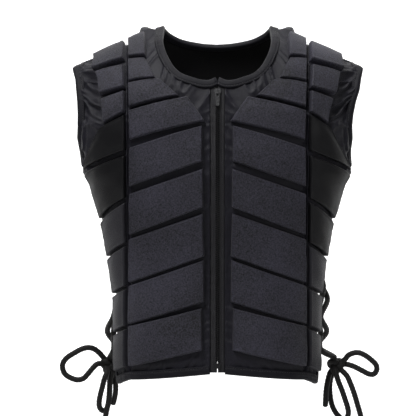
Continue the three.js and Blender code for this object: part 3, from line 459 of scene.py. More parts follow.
def grid_faces(columns, rows, start=0, flip=False):
    faces = []
    for j in range(rows - 1):
        for i in range(columns - 1):
            a = start + j * columns + i
            quad = (a, a + 1, a + 1 + columns, a + columns)
            faces.append(quad[::-1] if flip else quad)
    return faces


def rim(columns, rows):
    """The grid's border, once round."""
    line = list(range(columns))
    line += [columns - 1 + j * columns for j in range(1, rows)]
    line += [(rows - 1) * columns + i for i in range(columns - 2, -1, -1)]
    line += [j * columns for j in range(rows - 2, 0, -1)]
    return line


def slab(outer, inner, flip):
    """A closed body between two grids of the same size."""
    rows, columns = outer.shape[:2]
    count = rows * columns
    faces = grid_faces(columns, rows, 0, flip) + grid_faces(columns, rows, count, not flip)
    line = rim(columns, rows)
    for a, b in zip(line, line[1:] + line[:1]):
        quad = (a, a + count, b + count, b)
        faces.append(quad[::-1] if flip else quad)
    return np.concatenate([outer.reshape(-1, 3), inner.reshape(-1, 3)]), faces


def swept(rings, closed=False):
    """Faces of a closed section that runs through rings, with end caps unless the run is closed too."""
    count, sides = rings.shape[:2]
    faces = []
    for k in range(count if closed else count - 1):
        here, there = k * sides, (k + 1) % count * sides
        for s in range(sides):
            after = (s + 1) % sides
            faces.append((here + s, here + after, there + after, there + s))
    if not closed:
        faces.append(tuple(range(sides))[::-1])
        faces.append(tuple((count - 1) * sides + s for s in range(sides)))
    return faces


def run_along(line):
    """How far along the line each of its points is."""
    return np.concatenate([[0], np.cumsum(np.linalg.norm(np.diff(line, axis=0), axis=1))])


def along_at(line, run, stops):
    """The points at those distances along the line."""
    return np.stack([np.interp(stops, run, line[:, k]) for k in range(3)], -1)


def section_uvs(around, run):
    return np.stack(np.broadcast_arrays(around[None, :], run[:, None]), -1)


def mirrored(points, side):
    return points if side > 0 else points * np.array([-1, 1, 1])


def side_of(points, side):
    """Points of the right side brought to either side, where the armhole hangs in or out a little."""
    heights, left, right = SWAY.T
    sway = np.interp(points[..., 2], heights, right if side > 0 else left)
    share = ramp(np.abs(points[..., 0]), *SWAY_OUT)
    out = sway * share * share * (3 - 2 * share)
    return mirrored(points + out[..., None] * np.array([1, 0, 0]), side)


# Cords


CORD_SIDES = 16
BRAID_RELIEF = 0.16
BRAID_TURN = 1.1
TUBE_START = (0.3, 0.8, 0.5)


def curve_through(points, step=1.5, samples=24):
    """A centripetal Catmull-Rom line through the points, evenly sampled, and its length."""
    points = np.asarray(points, float)
    ends = [2 * points[0] - points[1], *points, 2 * points[-1] - points[-2]]
    line = []
    for p0, p1, p2, p3 in zip(ends, ends[1:], ends[2:], ends[3:]):
        t1 = np.linalg.norm(p1 - p0) ** 0.5
        t2 = t1 + np.linalg.norm(p2 - p1) ** 0.5
        t3 = t2 + np.linalg.norm(p3 - p2) ** 0.5
        t = np.linspace(t1, t2, samples, endpoint=False)[:, None]
        a1 = (t1 - t) / t1 * p0 + t / t1 * p1
        a2 = (t2 - t) / (t2 - t1) * p1 + (t - t1) / (t2 - t1) * p2
        a3 = (t3 - t) / (t3 - t2) * p2 + (t - t2) / (t3 - t2) * p3
        b1 = (t2 - t) / t2 * a1 + t / t2 * a2
        b2 = (t3 - t) / (t3 - t1) * a2 + (t - t1) / (t3 - t1) * a3
        line.extend((t2 - t) / (t2 - t1) * b1 + (t - t1) / (t2 - t1) * b2)
    line.append(points[-1])
    line = np.array(line)
    run = run_along(line)
    stops = np.linspace(0, run[-1], max(int(run[-1] / step), 8) + 1)
    return along_at(line, run, stops), run[-1]


def tube(line, radius, sides):
    """Rings round a line, turned as little as can be."""
    tangent = unit(np.gradient(line, axis=0))
    normal = unit(np.cross(tangent[0], TUBE_START))
    rings = []
    angles = np.linspace(0, 2 * math.pi, sides, endpoint=False)
    for k, point in enumerate(line):
        normal = unit(normal - tangent[k] * (normal @ tangent[k]))
        other = np.cross(tangent[k], normal)
        rings.append(point + radius[k] * (np.cos(angles)[:, None] * normal + np.sin(angles)[:, None] * other))
    return np.array(rings)


def cord_piece(name, line, length, radius):
    """A braided cord as a tube, with a radius for each point of its line."""
    rings = tube(line, radius, CORD_SIDES)
    run = np.linspace(0, length, len(line))
    strands = np.sin(2 * np.arange(CORD_SIDES) * 2 * math.pi / CORD_SIDES + run[:, None] * BRAID_TURN)
    swell = 1 + BRAID_RELIEF * strands / (CORD_DIAMETER / 2)
    rings = line[:, None] + (rings - line[:, None]) * swell[..., None]
    around = np.linspace(0, math.pi * CORD_DIAMETER, CORD_SIDES, endpoint=False)
    return piece(name, rings, swept(rings), [braid], section_uvs(around, run))


def cord_radius(line, loose):
    """The cord's radius along its line. A loose end is rounded over."""
    radius = CORD_DIAMETER / 2
    sizes = np.full(len(line), radius)
    if loose:
        run = run_along(line)
        share = np.clip((run[-1] - run) / (0.7 * radius), 0, 1)
        sizes = np.minimum(sizes, radius * (0.35 + 0.65 * np.sqrt(1 - (1 - share) ** 2)))
    return sizes


ROUTES = {
    "left": {
        "knot": (-168, 0, -501),
        "side_loop": [
            (-168.7, 0, -495.4), (-174.9, -2, -489.6), (-181.8, -5, -481.3), (-190.4, -8, -474.4),
            (-199, -11, -472.4), (-208.3, -13, -474.3), (-220.2, -14, -480.5), (-231.3, -14, -487.7),
            (-237.4, -13, -495.7), (-238.3, -12, -503.8), (-234.8, -11, -512.7), (-226, -11, -519),
            (-214.8, -12, -522), (-206, -13, -519.6), (-198.9, -13, -512.5), (-191.7, -12, -503.8),
            (-184.7, -10, -497.7), (-177, -6, -498), (-168.6, -2, -501),
        ],
        "hanging_loop": [
            (-168.7, -2, -501.9), (-170, -13, -511), (-173.8, -15, -521), (-176.8, -14, -532.7),
            (-180, -11, -544.7), (-182.2, -8, -556.9), (-181.6, -4, -565.3), (-178.1, 1, -570.6),
            (-173.9, 5, -571.5), (-170.1, 9, -565.7), (-168.4, 12, -552.8), (-167.3, 13, -532.7),
            (-167.1, 11, -515.2), (-167.6, 3, -502.2),
        ],
        "lace_end_long": [
            (-163, -4, -513.4), (-164.5, -5, -520), (-165.9, -5, -532), (-166.5, -4, -547),
            (-169.1, -6, -562.8), (-172.3, -7, -578.5), (-173.9, -6, -591),
        ],
        "lace_end_short": [
            (-160.5, 5, -512.8), (-159.3, 4, -520), (-157.2, 3, -532.9), (-158.2, 2, -548.3),
            (-161.8, 1, -562.7),
        ],
    },
    "right": {
        "knot": (184, 0, -501),
        "side_loop": [
            (185.2, 0, -498.8), (196.9, -3, -492.3), (202.9, -6, -484.8), (210.8, -8, -481),
            (218.7, -10, -480.4), (228.4, -11, -484.3), (238.3, -11, -491.6), (245.7, -10, -499.7),
            (246.5, -9, -507), (242.2, -8, -513.5), (235.2, -7, -513.6), (225.4, -6, -509),
            (213.8, -4, -503.1), (205, -2, -500), (197.2, 1, -499), (186.1, 2, -500.5),
        ],
        "hanging_loop": [
            (182.8, 0, -501.9), (183.5, -10, -512), (187.5, -11, -525.1), (192.8, -11, -538.4),
            (198, -10, -553.7), (201.9, -8, -565.7), (203, -5, -574.9), (200.5, -2, -582.2),
            (194.2, 1, -583.6), (188.4, 3, -579.5), (183.1, 5, -572.6), (178.7, 7, -562.9),
            (176.1, 9, -549.4), (175.5, 10, -531.4), (178.7, 9, -515), (181.5, 3, -503.7),
        ],
        "lace_end_long": [
            (192.9, -4.6, -508.3), (200.6, -7, -516.4), (206.2, -9, -528.5), (211.6, -9, -542.9),
            (217.1, -8, -561.1), (222.5, -7, -580), (225.7, -6, -594.1),
        ],
        "lace_end_short": [
            (175.5, -0.9, -511.2), (171.5, -5, -523), (168.7, -7, -538.3), (167.8, -7, -552.2),
            (167.2, -6, -564.7),
        ],
    },
}
LACE_LEVELS = 6
LACE_ACROSS = 1.86
LACE_TOP = 0.19
LACE_BOTTOM = 0.86
LACE_LIFT = 2.6
LACE_CLEARANCE = 0.8
# the first level that is laced outside the panels' edges, on the left and on the right
LACE_OUTSIDE_FROM = {-1: 4, 1: 3}
KNOT_REACH = 13.7
KNOT_SCALE = 3.2
KNOT_CORD_RADIUS = 5.0
KNOT_CORD_LENGTH = 170
KNOT_POINTS = 120
KNOT_SIDES = 12
LOOSE_END_START = 4


def lace_level(i):
    return -(LACE_TOP + (LACE_BOTTOM - LACE_TOP) * i / (LACE_LEVELS - 1))


def lace_route(side, knot):
    """Down one way, up the other. It crosses inside the panels' edges above and outside them below."""
    outside_from = LACE_OUTSIDE_FROM[side]
    lift = CORD_DIAMETER / 2 + LACE_LIFT
    sunk = -WALL - CORD_DIAMETER / 2 - LACE_CLEARANCE

    def strand(first, over):
        faces = ("front", "back") if first == "front" else ("back", "front")
        points = []
        for i in range(LACE_LEVELS):
            height = lift if i >= outside_from else sunk - (0 if over else 1)
            points.append(at(faces[i % 2], LACE_ACROSS, lace_level(i), height, False))
            if i < LACE_LEVELS - 1:
                up = (lace_level(i) + lace_level(i + 1)) / 2
                out = lift + CORD_DIAMETER if over else lift - CORD_DIAMETER / 8
                if i < outside_from:
                    out = -1 if over else -CORD_DIAMETER - 2
                points.append(np.array([float(half_width(up)) + out, 0, -CHEST_DROP + up * SIDE_LENGTH]))
        return points

    def end(y):
        return np.array([abs(knot[0]) - 2, y, knot[2] + math.sqrt(KNOT_REACH ** 2 - y ** 2)])

    under = strand("back", False)[::-1]
    over = strand("front", True)
    top = np.array([float(half_width(lace_level(0))) - 5, 0, over[0][2] + CORD_DIAMETER])
    points = [end(5 if under[0][1] > 0 else -5), *under, top, *over, end(5 if over[-1][1] > 0 else -5)]
    return np.array(points) * np.array([side, 1, 1])


def knot_piece(name, centre):
    """Wraps of the cord pulled tight, as a small closed tangle."""
    t = np.linspace(0, 2 * math.pi, KNOT_POINTS + 1)[:-1]
    line = np.stack([
        np.sin(t) + 2 * np.sin(2 * t),
        1.6 * -np.sin(3 * t),
        np.cos(t) - 2 * np.cos(2 * t),
    ], -1) * KNOT_SCALE + np.array(centre)
    rings = tube(line, np.full(len(line), KNOT_CORD_RADIUS), KNOT_SIDES)
    around = np.linspace(0, math.pi * CORD_DIAMETER, KNOT_SIDES, endpoint=False)
    run = np.linspace(0, KNOT_CORD_LENGTH, KNOT_POINTS)
    return piece(name, rings, swept(rings, closed=True), [braid], section_uvs(around, run))


SIDES = (("left", -1), ("right", 1))
CORD_KEYS = ("side_loop", "hanging_loop", "lace_end_long", "lace_end_short")
STANDS_FOR = {"side_loop": "bow", "hanging_loop": "bow"}

for side_name, side in SIDES:
    route = ROUTES[side_name]
    for key in ("lace_end_long", "lace_end_short"):
        start = np.array(route[key][0], float)
        route[key].insert(0, start + LOOSE_END_START * unit(np.array(route["knot"]) - start))
    lines = {"lace": curve_through(lace_route(side, route["knot"]))}
    lines.update({key: curve_through(route[key]) for key in CORD_KEYS})
    knot = knot_piece(f"knot_{side_name}", route["knot"])
    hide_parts(f"bow_{side_name}")
    for key, (line, length) in lines.items():
        loose = key.startswith("lace_end")
        obj = cord_piece(f"cord_{key}_{side_name}", line, length, cord_radius(line, loose))
        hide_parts(f"{STANDS_FOR.get(key, key)}_{side_name}")

# Panels


def spaced(length, step, dense, reach, fine=0.8):
    """Stops along a length, closer together within reach of the dense place."""
    stops = [0.0]
    while stops[-1] < length:
        stops.append(stops[-1] + (fine if abs(stops[-1] - dense) < reach else step))
    stops[-1] = length
    return np.array(stops)


GUTTER_RAISE = 2.6
SEAM_AT = 0.995
SEAM_FOLD_AT = 1.012
STRIP_FROM = (1.4, 0.08)
STRIP_LOW = (-0.22, 0.1)
YOKE_FROM = (0.08, 0.1)
# across, up and turn of the puckers where the blocks' corners are stitched down
PUCKERS = [
    (0.125, (over[4] + under[1]) / 2, 1.3 * n)
    for n, (over, under) in enumerate(zip(INNER_BLOCKS[3:], INNER_BLOCKS[4:]))
] + [
    (1.0, (over[5] + under[2]) / 2, 0.9 * n)
    for n, (over, under) in enumerate(zip(INNER_BLOCKS, INNER_BLOCKS[1:]))
]


def flat(across, up):
    """The cloth laid out flat, in millimetres."""
    x = np.minimum(across, 1) * SEAM_HALF_WIDTH + np.maximum(across - 1, 0) * SIDE_SPAN
    return x, np.where(up > 0, up * SHOULDER_SPAN, up * SIDE_LENGTH)


def panel_field(face, across, up):
    """Heights of the panel's cloth over the body's surface."""
    x, z = flat(across, up)
    height = 0.35 * noise(x / 22, z / 22, 1) + 0.2 * noise(x / 8, z / 8, 2)

    seam = np.abs(across - SEAM_AT) * SEAM_HALF_WIDTH
    height += -1.5 * hump(seam, 2.2)
    height += 3.2 * hump(np.abs(across - SEAM_FOLD_AT) * SEAM_HALF_WIDTH, 0.9)
    height += 0.9 * creases(z, seam, length=14, spacing=7.5, seed=4) * hump(seam, 9)

    if face == "front":
        edge = np.abs(across - ZIP_EDGE) * SEAM_HALF_WIDTH
        below = ramp(up, 0.35, -0.05)
        height += 1.1 * creases(z + 0.3 * edge, edge, length=60, spacing=8, seed=5) * hump(edge, 14) * below
        height += 0.7 * hump(edge, 2.0) * below
        for a0, u0, turn in PUCKERS:
            dx = (across - a0) * SEAM_HALF_WIDTH
            dz = (up - u0) * np.where(up > 0, SHOULDER_SPAN, SIDE_LENGTH)
            away = np.hypot(dx, dz)
            rays = np.cos(5 * np.arctan2(dz, dx) + turn) * ramp(away, 0, 4)
            height += (1.2 * rays - 1.0) * hump(away, 8.5)

    hem = -1 if face == "back" else HEM_UP + (-1 - HEM_UP) * across / 2
    low = (up - hem) * SIDE_LENGTH
    height += 1.9 * creases(x + 0.7 * low, low, length=26, spacing=9, seed=6) * hump(low, 26)

    high = ramp(up, *YOKE_FROM)
    diagonal = x * 0.8 + z * 0.55 + 7 * noise(x / 30, z / 30, 21)
    yoke = 1.2 + 2.1 * creases(diagonal, z * 0.8 - x * 0.5, length=46, spacing=12.5, seed=8)
    height += yoke * high * ramp(across, 1.02, -0.1)

    armhole = (2 - across) * SIDE_SPAN
    from_middle = (across - (ZIP_EDGE if face == "front" else -1)) * SEAM_HALF_WIDTH
    clear = ramp(from_middle, 9, 5) * ramp(low, 12, 8) * ramp(armhole, 30, 10)
    height += GUTTER_RAISE * clear * (1 - high)

    strip = ramp(across, *STRIP_FROM) * ramp(up, *STRIP_LOW) * (0.3 + 0.7 * ramp(armhole, 8, 12))
    height += (2.6 + 3.2 * creases(z + 0.4 * armhole, armhole, length=45, spacing=15, seed=9)) * strip
    height += 3.5 * hump(up + 0.09, 0.09) * ramp(across, 1.45, 0.15) * ramp(armhole, 6, 8)
    lower_side = hump(armhole, 26) * ramp(up, -0.1, -0.1)
    height += 0.9 * creases(z, armhole, length=26, spacing=12, seed=10) * lower_side
    return height


def corner_lift(across, up):
    """The hem's outer corner is rounded."""
    return 0.042 * ramp(across, 1.74, 0.26) ** 2 * ramp(up, -0.91, -0.09)


LINING_STEP = 4
LINING_COLUMNS = 16


def panel(name, face, table, sides, node_name, step=2.4):
    """A panel's cover with its turned edge, and its lining as a piece of its own."""
    rows_t = []
    for a, b in zip(table, table[1:]):
        start = spot(face, a[1], a[2])
        stop = spot(face, b[1], b[2])
        outer = np.linalg.norm(spot(face, 2.0, a[3]) - spot(face, 2.0, b[3]))
        count = max(int(max(np.linalg.norm(stop - start), outer) / step), 2)
        rows_t.extend(np.linspace(a[0], b[0], count, endpoint=False))
    rows_t.append(table[-1][0])
    t = np.array(rows_t)[:, None]
    inner_stops = spaced(SEAM_HALF_WIDTH, step, SEAM_HALF_WIDTH, 8) / SEAM_HALF_WIDTH
    outer_stops = spaced(SIDE_SPAN, step, 0, 9)[1:] / SIDE_SPAN + 1
    c = np.concatenate([inner_stops, outer_stops])[None, :]

    def place(t, c):
        inner = edge_line(table, 1, t)
        across = np.where(c <= 1, inner + (1 - inner) * np.minimum(c, 1), c)
        share = (across - inner) / (2 - inner)
        up = edge_line(table, 2, t) * (1 - share) + edge_line(table, 3, t) * share
        return across, up + corner_lift(across, up)

    across, up = place(t, c)
    x, z = flat(across, up)
    top = at(face, across, up, panel_field(face, across, up))
    border = at(face, across, up, -WALL)
    rough_t = np.array(rows_t)[::LINING_STEP]
    if rough_t[-1] != rows_t[-1]:
        rough_t = np.append(rough_t, rows_t[-1])
    rough_c = np.concatenate([np.linspace(0, 1, LINING_COLUMNS), np.linspace(1, 2, LINING_COLUMNS)[1:]])
    under_across, under_up = place(rough_t[:, None], rough_c[None, :])
    under = at(face, under_across, under_up, -WALL)
    under_flat = np.stack([under_across * SEAM_HALF_WIDTH, under_up * 300], -1).reshape(-1, 2)
    cover, cover_uvs, faces = [], [], []
    lining, lining_uvs, lining_faces = [], [], []
    rows, columns = top.shape[:2]
    line = rim(columns, rows)
    start = 0
    for n, side in enumerate(sides):
        flip = (side > 0) == (face == "back")
        top_side = side_of(top, side).reshape(-1, 3)
        uv = np.stack([x * side, z], -1).reshape(-1, 2)
        cover += [top_side, side_of(border, side).reshape(-1, 3)[line]]
        cover_uvs += [uv, uv[line]]
        faces += grid_faces(columns, rows, start, flip)
        rim_start = start + len(top_side)
        for k in range(len(line)):
            after = (k + 1) % len(line)
            quad = (start + line[k], start + line[after], rim_start + after, rim_start + k)
            faces.append(quad if flip else (quad[0], *quad[:0:-1]))
        start = rim_start + len(line)
        lining.append(side_of(under, side).reshape(-1, 3))
        lining_uvs.append(under_flat * (side, 1))
        lining_faces += grid_faces(len(rough_c), len(rough_t), n * under.size // 3, not flip)
    obj = piece(name, np.concatenate(cover), faces, [panel_cloth], np.concatenate(cover_uvs))
    inside = piece(name.replace("panel", "lining"), np.concatenate(lining), lining_faces, [lining_cloth],
                   np.concatenate(lining_uvs))
    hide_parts(node_name)
    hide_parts(node_name)
    return obj, inside


shells = {
    "left": panel("panel_front_left", "front", FRONT_ROWS, [-1], "shell_front_left"),
    "right": panel("panel_front_right", "front", FRONT_ROWS, [1], "shell_front_right"),
    "back": panel("panel_back", "back", BACK_ROWS, [1, -1], "shell_back", 3.0),
}

# Foam blocks


BLOCK_STOPS = np.array([0, 0.3, 0.7, 1.2, 1.9, 2.8, 4.0, 6.0])
BLOCK_CROWN = 1.2
BLOCK_GROW = 1.7
BLOCK_EDGE = 2.6
BLOCK_UNDER = 0.6


def edge_stops(length, step=4.5):
    """Stops along a block's side, close together at both ends."""
    near = BLOCK_STOPS[BLOCK_STOPS < length * 0.42]
    middle = np.linspace(near[-1], length - near[-1], max(int((length - 2 * near[-1]) / step), 1) + 1)[1:-1]
    return np.concatenate([near, middle, (length - near)[::-1]])


def soft_edge(distance, radius, power=2.4):
    """A rounded rise from 0 at the edge to 1 at the radius."""
    share = np.clip(distance / radius, 0, 1)
    return (1 - (1 - share) ** power) ** (1 / power)


def foam_block(name, face, corners, side, rise, material, node_name, seed):
    """corners are (across, up), round from the lower near one."""
    corners = np.array(corners, float)
    signs = np.sign(corners - corners.mean(0))
    corners[:, 0] += signs[:, 0] * BLOCK_GROW / SEAM_HALF_WIDTH
    corners[:, 1] += signs[:, 1] * BLOCK_GROW / np.where(corners[:, 1] > 0, SHOULDER_SPAN, SIDE_LENGTH)
    corners[:, 1] = np.minimum(corners[:, 1], 1)

    def place(u, v):
        u, v = u[..., None], v[..., None]
        low = corners[0] * (1 - u) + corners[1] * u
        high = corners[3] * (1 - u) + corners[2] * u
        mixed = low * (1 - v) + high * v
        return mixed[..., 0], mixed[..., 1]

    def length(a, b):
        return run_along(spot(face, *place(*np.linspace(a, b, 12).T)))[-1]

    width = (length((0, 0), (1, 0)) + length((0, 1), (1, 1))) / 2
    height = (length((0, 0), (0, 1)) + length((1, 0), (1, 1))) / 2
    us, vs = edge_stops(width), edge_stops(height)
    u, v = np.meshgrid(us / width, vs / height)
    du = np.minimum(us, width - us)[None, :]
    dv = np.minimum(vs, height - vs)[:, None]
    across, up = place(u, v)
    shape = soft_edge(du, BLOCK_EDGE) * soft_edge(dv, BLOCK_EDGE)
    x, y = us[None, :], vs[:, None]
    puff = BLOCK_CROWN * np.sin(math.pi * u) ** 0.6 * np.sin(math.pi * v) ** 0.6
    folds = 0.45 * creases(y, du, length=12, spacing=8, seed=seed) * hump(du, 8)
    folds = folds + 0.45 * creases(x, dv, length=12, spacing=8, seed=seed + 1) * hump(dv, 8)
    waves = 0.8 * noise(x / 30, y / 22, seed + 2) + 0.25 * noise(x / 11, y / 9, seed + 5)
    bead = 0.45 * hump(np.minimum(du, dv) - BLOCK_EDGE, 0.9)
    body = rise + PAD_SUNK + puff + folds + waves + bead
    # the cloth is pulled in a little where the block stands free of its seam
    bow = 0.35 * noise(y / 30 + 0 * x, 0, seed + 6) * (1 - 2 * u) * hump(du, 3)
    pull = 1.2 * (1 - shape)
    inward_u = pull * hump(du, 2.2) * np.where(u < 0.5, 1, -1)
    inward_v = pull * hump(dv, 2.2) * np.where(v < 0.5, 1, -1)
    across = across + 0.4 * (inward_u + bow) / SEAM_HALF_WIDTH
    up = up + 0.4 * inward_v / SIDE_LENGTH
    top = at(face, across, up, -PAD_SUNK + body * shape, False)
    under = at(face, *place(u, v), -PAD_SUNK - BLOCK_UNDER, False)
    top, under = side_of(top, side), side_of(under, side)
    points, faces = slab(top, under, (side > 0) == (face == "back"))
    uv = np.stack(np.broadcast_arrays(x + 13 * seed, y), -1).reshape(-1, 2)
    obj = piece(name, points, faces, [material], np.concatenate([uv, uv]))
    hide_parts(node_name)
    return obj


# the first creases' seed of each column of blocks
INNER_SEED = {-1: 60, 1: 20}
OUTER_SEED = {-1: 140, 1: 100}
BACK_SEED = {-1: 300, 1: 200}
SATIN_BLOCKS = {-1: (4, 5), 1: (4, 5, 6)}
SMOOTH_FROM = 6

for side_name, side in SIDES:
    for n, row in enumerate(INNER_BLOCKS, 1):
        corners = [(row[3], row[4]), (INNER_SEAM_EDGE, row[5]), (INNER_SEAM_EDGE, row[2]), (row[0], row[1])]
        foam_block(f"block_{side_name}_inner_{n}", "front", corners, side, PAD_RISE, block_cloth,
                   f"pad_front_{side_name}_inner_{n}", n * 3 + INNER_SEED[side])
    for n, row in enumerate(OUTER_BLOCKS, 1):
        corners = [(OUTER_SEAM_EDGE, row[3]), (row[4], row[5]), (row[1], row[2]), (OUTER_SEAM_EDGE, row[0])]
        cover, slot = (smooth_cloth if n >= SMOOTH_FROM else block_cloth), "block"
        if n in SATIN_BLOCKS[side]:
            cover, slot = satin_cloth, "satin"
        foam_block(f"block_{side_name}_outer_{n}", "front", corners, side, PAD_RISE, cover,
                   f"pad_front_{side_name}_outer_{n}", n * 3 + OUTER_SEED[side])
    for n, (low, high) in enumerate(BACK_BLOCKS, 1):
        for m, (near, far) in enumerate(BACK_COLUMNS, 1):
            corners = [(near, low), (far, low), (far, high), (near, high)]
            foam_block(f"block_back_{side_name}_{m}_{n}", "back", corners, side, BACK_PAD_RISE, block_cloth,
                       "shell_back", n * 5 + m * 31 + BACK_SEED[side])

# Bindings

# how far in from the edge and how high over the surface; the first points are the tape's outside
BINDING_SECTION = np.array(
    [(10.2, 0.0), (10.1, 1.7), (9.4, 2.5), (7.8, 2.75), (7.4, 2.45), (7.0, 2.75), (4, 2.95), (1.5, 2.9)]
    + [(-0.3 + 2.4 * math.cos(a), -1.65 + 4.4 * math.sin(a)) for a in np.radians(np.linspace(90, 270, 9))]
    + [(3, -6.1), (6.4, -6.1), (7.1, -5.5), (6.8, -4.9), (3, -4.8), (-0.2, -4.6), (-0.7, -1.6), (-0.2, 0.6),
       (9.6, 0.0)]
)
OUTSIDE_POINTS = 8
STITCH_POINT = 4
STITCH_HEIGHT = 2.75
# how far along a stitch, and its share of the thread's radius
STITCH_SHAPE = [(0.0, 0.25), (0.18, 0.9), (0.5, 1.0), (0.82, 0.9), (1.0, 0.25)]
THREAD_SIDES = 6


def stitches(name, line, pitch=4.0, stitch=2.9, radius=0.32):
    """A row of thread stitches, each a small capsule, along a line in millimetres."""
    run = run_along(line)
    points, faces, uvs = [], [], []
    position = pitch / 2
    while position + stitch < run[-1]:
        stops = np.array([position + stitch * share for share, _ in STITCH_SHAPE])
        sizes = np.array([radius * share for _, share in STITCH_SHAPE])
        rings = tube(along_at(line, run, stops), sizes, THREAD_SIDES)
        offset = sum(len(p) for p in points)
        faces += [tuple(offset + v for v in f) for f in swept(rings)]
        points.append(rings.reshape(-1, 3))
        uvs.append(section_uvs(np.linspace(0, 2, THREAD_SIDES), stops).reshape(-1, 2))
        position += pitch
    return piece(name, np.concatenate(points), faces, [thread], np.concatenate(uvs))


def binding(name, places, node_name, seed, towards):
    """places is a list of (face, side, across, up); towards gives which way is in from the edge."""
    points = np.array([side_of(at(face, across, up, 0.0), side) for face, side, across, up in places])
    run = run_along(points)
    rings, lines = [], []
    for k, (face, side, across, up) in enumerate(places):
        before, after = points[max(k - 1, 0)], points[min(k + 1, len(points) - 1)]
        along = mirrored(unit(after - before), side)
        inward = unit(np.cross(outward(face, across, up), along))
        if inward @ np.array(towards(face, across, up)) < 0:
            inward = -inward
        section = BINDING_SECTION.copy()
        ripple = 0.35 * noise(run[k] / 4.5, np.arange(OUTSIDE_POINTS) / 6, seed)
        section[:OUTSIDE_POINTS, 1] += ripple + 0.25 * noise(run[k] / 11, 0, seed + 1)
        count = len(section)
        a2, u2 = moved(face, np.full(count, across), np.full(count, up), inward * section[:, :1])
        if up > 0.9:
            u2 = np.minimum(u2, 1.0)
        rings.append(side_of(at(face, a2, u2, section[:, 1]), side))
        lines.append(side_of(at(face, a2[STITCH_POINT], u2[STITCH_POINT], STITCH_HEIGHT), side))
    rings = np.array(rings)
    obj = piece(name, rings, swept(rings), [binding_cloth],
                section_uvs(run_along(BINDING_SECTION), run))
    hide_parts(node_name)
    return [obj, stitches(f"stitch_{name}", np.array(lines))]


NECK_GAP = 2
NECK_FLARE = 0.022


def neck_places():
    """Round the neck's edge, which stands up a little beside the zip's top."""
    t = np.linspace(FRONT_ROWS[1][0], FRONT_ROWS[-1][0], 190)
    across = edge_line(FRONT_ROWS, 1, t)
    up = edge_line(FRONT_ROWS, 2, t)
    front = [(NECK_GAP / SEAM_HALF_WIDTH, up[0] - 0.002), (0.05, up[0] - 0.001), *zip(across, up)]
    half = [("front", a, u + NECK_FLARE * hump(a * SEAM_HALF_WIDTH - NECK_GAP, 6)) for a, u in front]
    t = np.linspace(BACK_ROWS[-1][0], BACK_ROWS[1][0], 110)[1:]
    half += [("back", a, u) for a, u in zip(edge_line(BACK_ROWS, 1, t), edge_line(BACK_ROWS, 2, t))]
    right = [(f, 1, a, u) for f, a, u in half]
    left = [(f, -1, a, u) for f, a, u in half[:-1]][::-1]
    return right + left


def neck_towards(face, across, up):
    if face == "front":
        return (1, 0, 0) if up > 0.5 else (1, 0, -1)
    return (1, 0, 0) if across > 0.45 else (0, 0, -1)


def armhole_places(side):
    ups = np.linspace(-0.1, 1, 210)
    return [("front", side, 2.0, u) for u in ups] + [("back", side, 2.0, u) for u in ups[::-1][1:]]


def hem_places(face, side, start, count):
    places = []
    for share in np.linspace(0, 1, count):
        across, up = start + (2 - start) * share, HEM_UP + (-1 - HEM_UP) * share
        places.append((face, side, across, up + corner_lift(across, up)))
    return places


def inwards(face, across, up):
    return (-1, 0, 0)


def upwards(face, across, up):
    return (0, 0, 1)


trim = {"left": [], "right": [], "back": []}
trim["back"] += binding("binding_neck_tape", neck_places(), "binding_neck", 11, neck_towards)
for side_name, side in SIDES:
    trim[side_name] += binding(f"binding_armhole_tape_{side_name}", armhole_places(side),
                               f"binding_armhole_{side_name}", 13 + side, inwards)
    trim[side_name] += binding(f"binding_hem_tape_{side_name}", hem_places("front", side, ZIP_EDGE, 150),
                               f"binding_hem_{side_name}", 17 + side, upwards)
back_hem = hem_places("back", -1, 0, 130)[:0:-1] + hem_places("back", 1, 0, 130)
trim["back"] += binding("binding_hem_tape_back", back_hem, "binding_hem_back", 19, upwards)

# Zip

TAPE_SINK = 1.6
SLIDER_UP = 0.2455
ZIP_TOP_UP = 0.298
TAPE_STITCH_AT = 7.0
TAPE_ROWS = 230
# how far out from the middle and how high
TAPE_SECTION = np.array([
    (0.6, -TAPE_SINK - 1.4), (0.6, -TAPE_SINK), (2.9, -TAPE_SINK + 0.5), (3.6, -TAPE_SINK + 0.2),
    (6.6, -TAPE_SINK + 0.2), (TAPE_STITCH_AT, -TAPE_SINK - 0.05), (7.4, -TAPE_SINK + 0.2),
    (12.5, -TAPE_SINK - 0.2), (12.5, -TAPE_SINK - 1.4),
])
TEETH_START = 0.036
TEETH_PAST_SLIDER = 0.013
TOOTH_PITCH = 2.8
TOOTH_MIDDLE = 1.0
# out from the middle and along the zip
TOOTH_OUTLINE = [
    (-0.95, 0.42), (-0.95, -0.42), (0.1, -0.3), (0.9, -0.55),
    (3.0, -0.55), (3.0, 0.55), (0.9, 0.55), (0.1, 0.3),
]
# height and the outline's share there
TOOTH_LEVELS = ((-TAPE_SINK - 0.2, 1.0), (0.1, 1.0), (0.45, 0.78))


def zip_tape(side_name, side):
    ups = np.linspace(HEM_UP, ZIP_TOP_UP, TAPE_ROWS)
    out, heights = TAPE_SECTION.T
    across = out / SEAM_HALF_WIDTH
    rings = []
    for up in ups:
        ripple = 0.3 * noise(up * 60, 0, 40 + side) * (out > 3)
        rings.append(side_of(at("front", across, np.full(len(across), up), heights + ripple), side))
    rings = np.array(rings)
    obj = piece(f"zip_tape_{side_name}", rings, swept(rings), [zip_cloth],
                section_uvs(out, ups * 350))
    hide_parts(f"zip_half_{side_name}")
    ups = np.linspace(HEM_UP + 0.01, ZIP_TOP_UP, 200)
    line = side_of(at("front", TAPE_STITCH_AT / SEAM_HALF_WIDTH, ups, np.full(200, -TAPE_SINK + 0.15)), side)
    return [obj, stitches(f"stitch_zip_{side_name}", line, 3.2, 2.2, 0.28)]


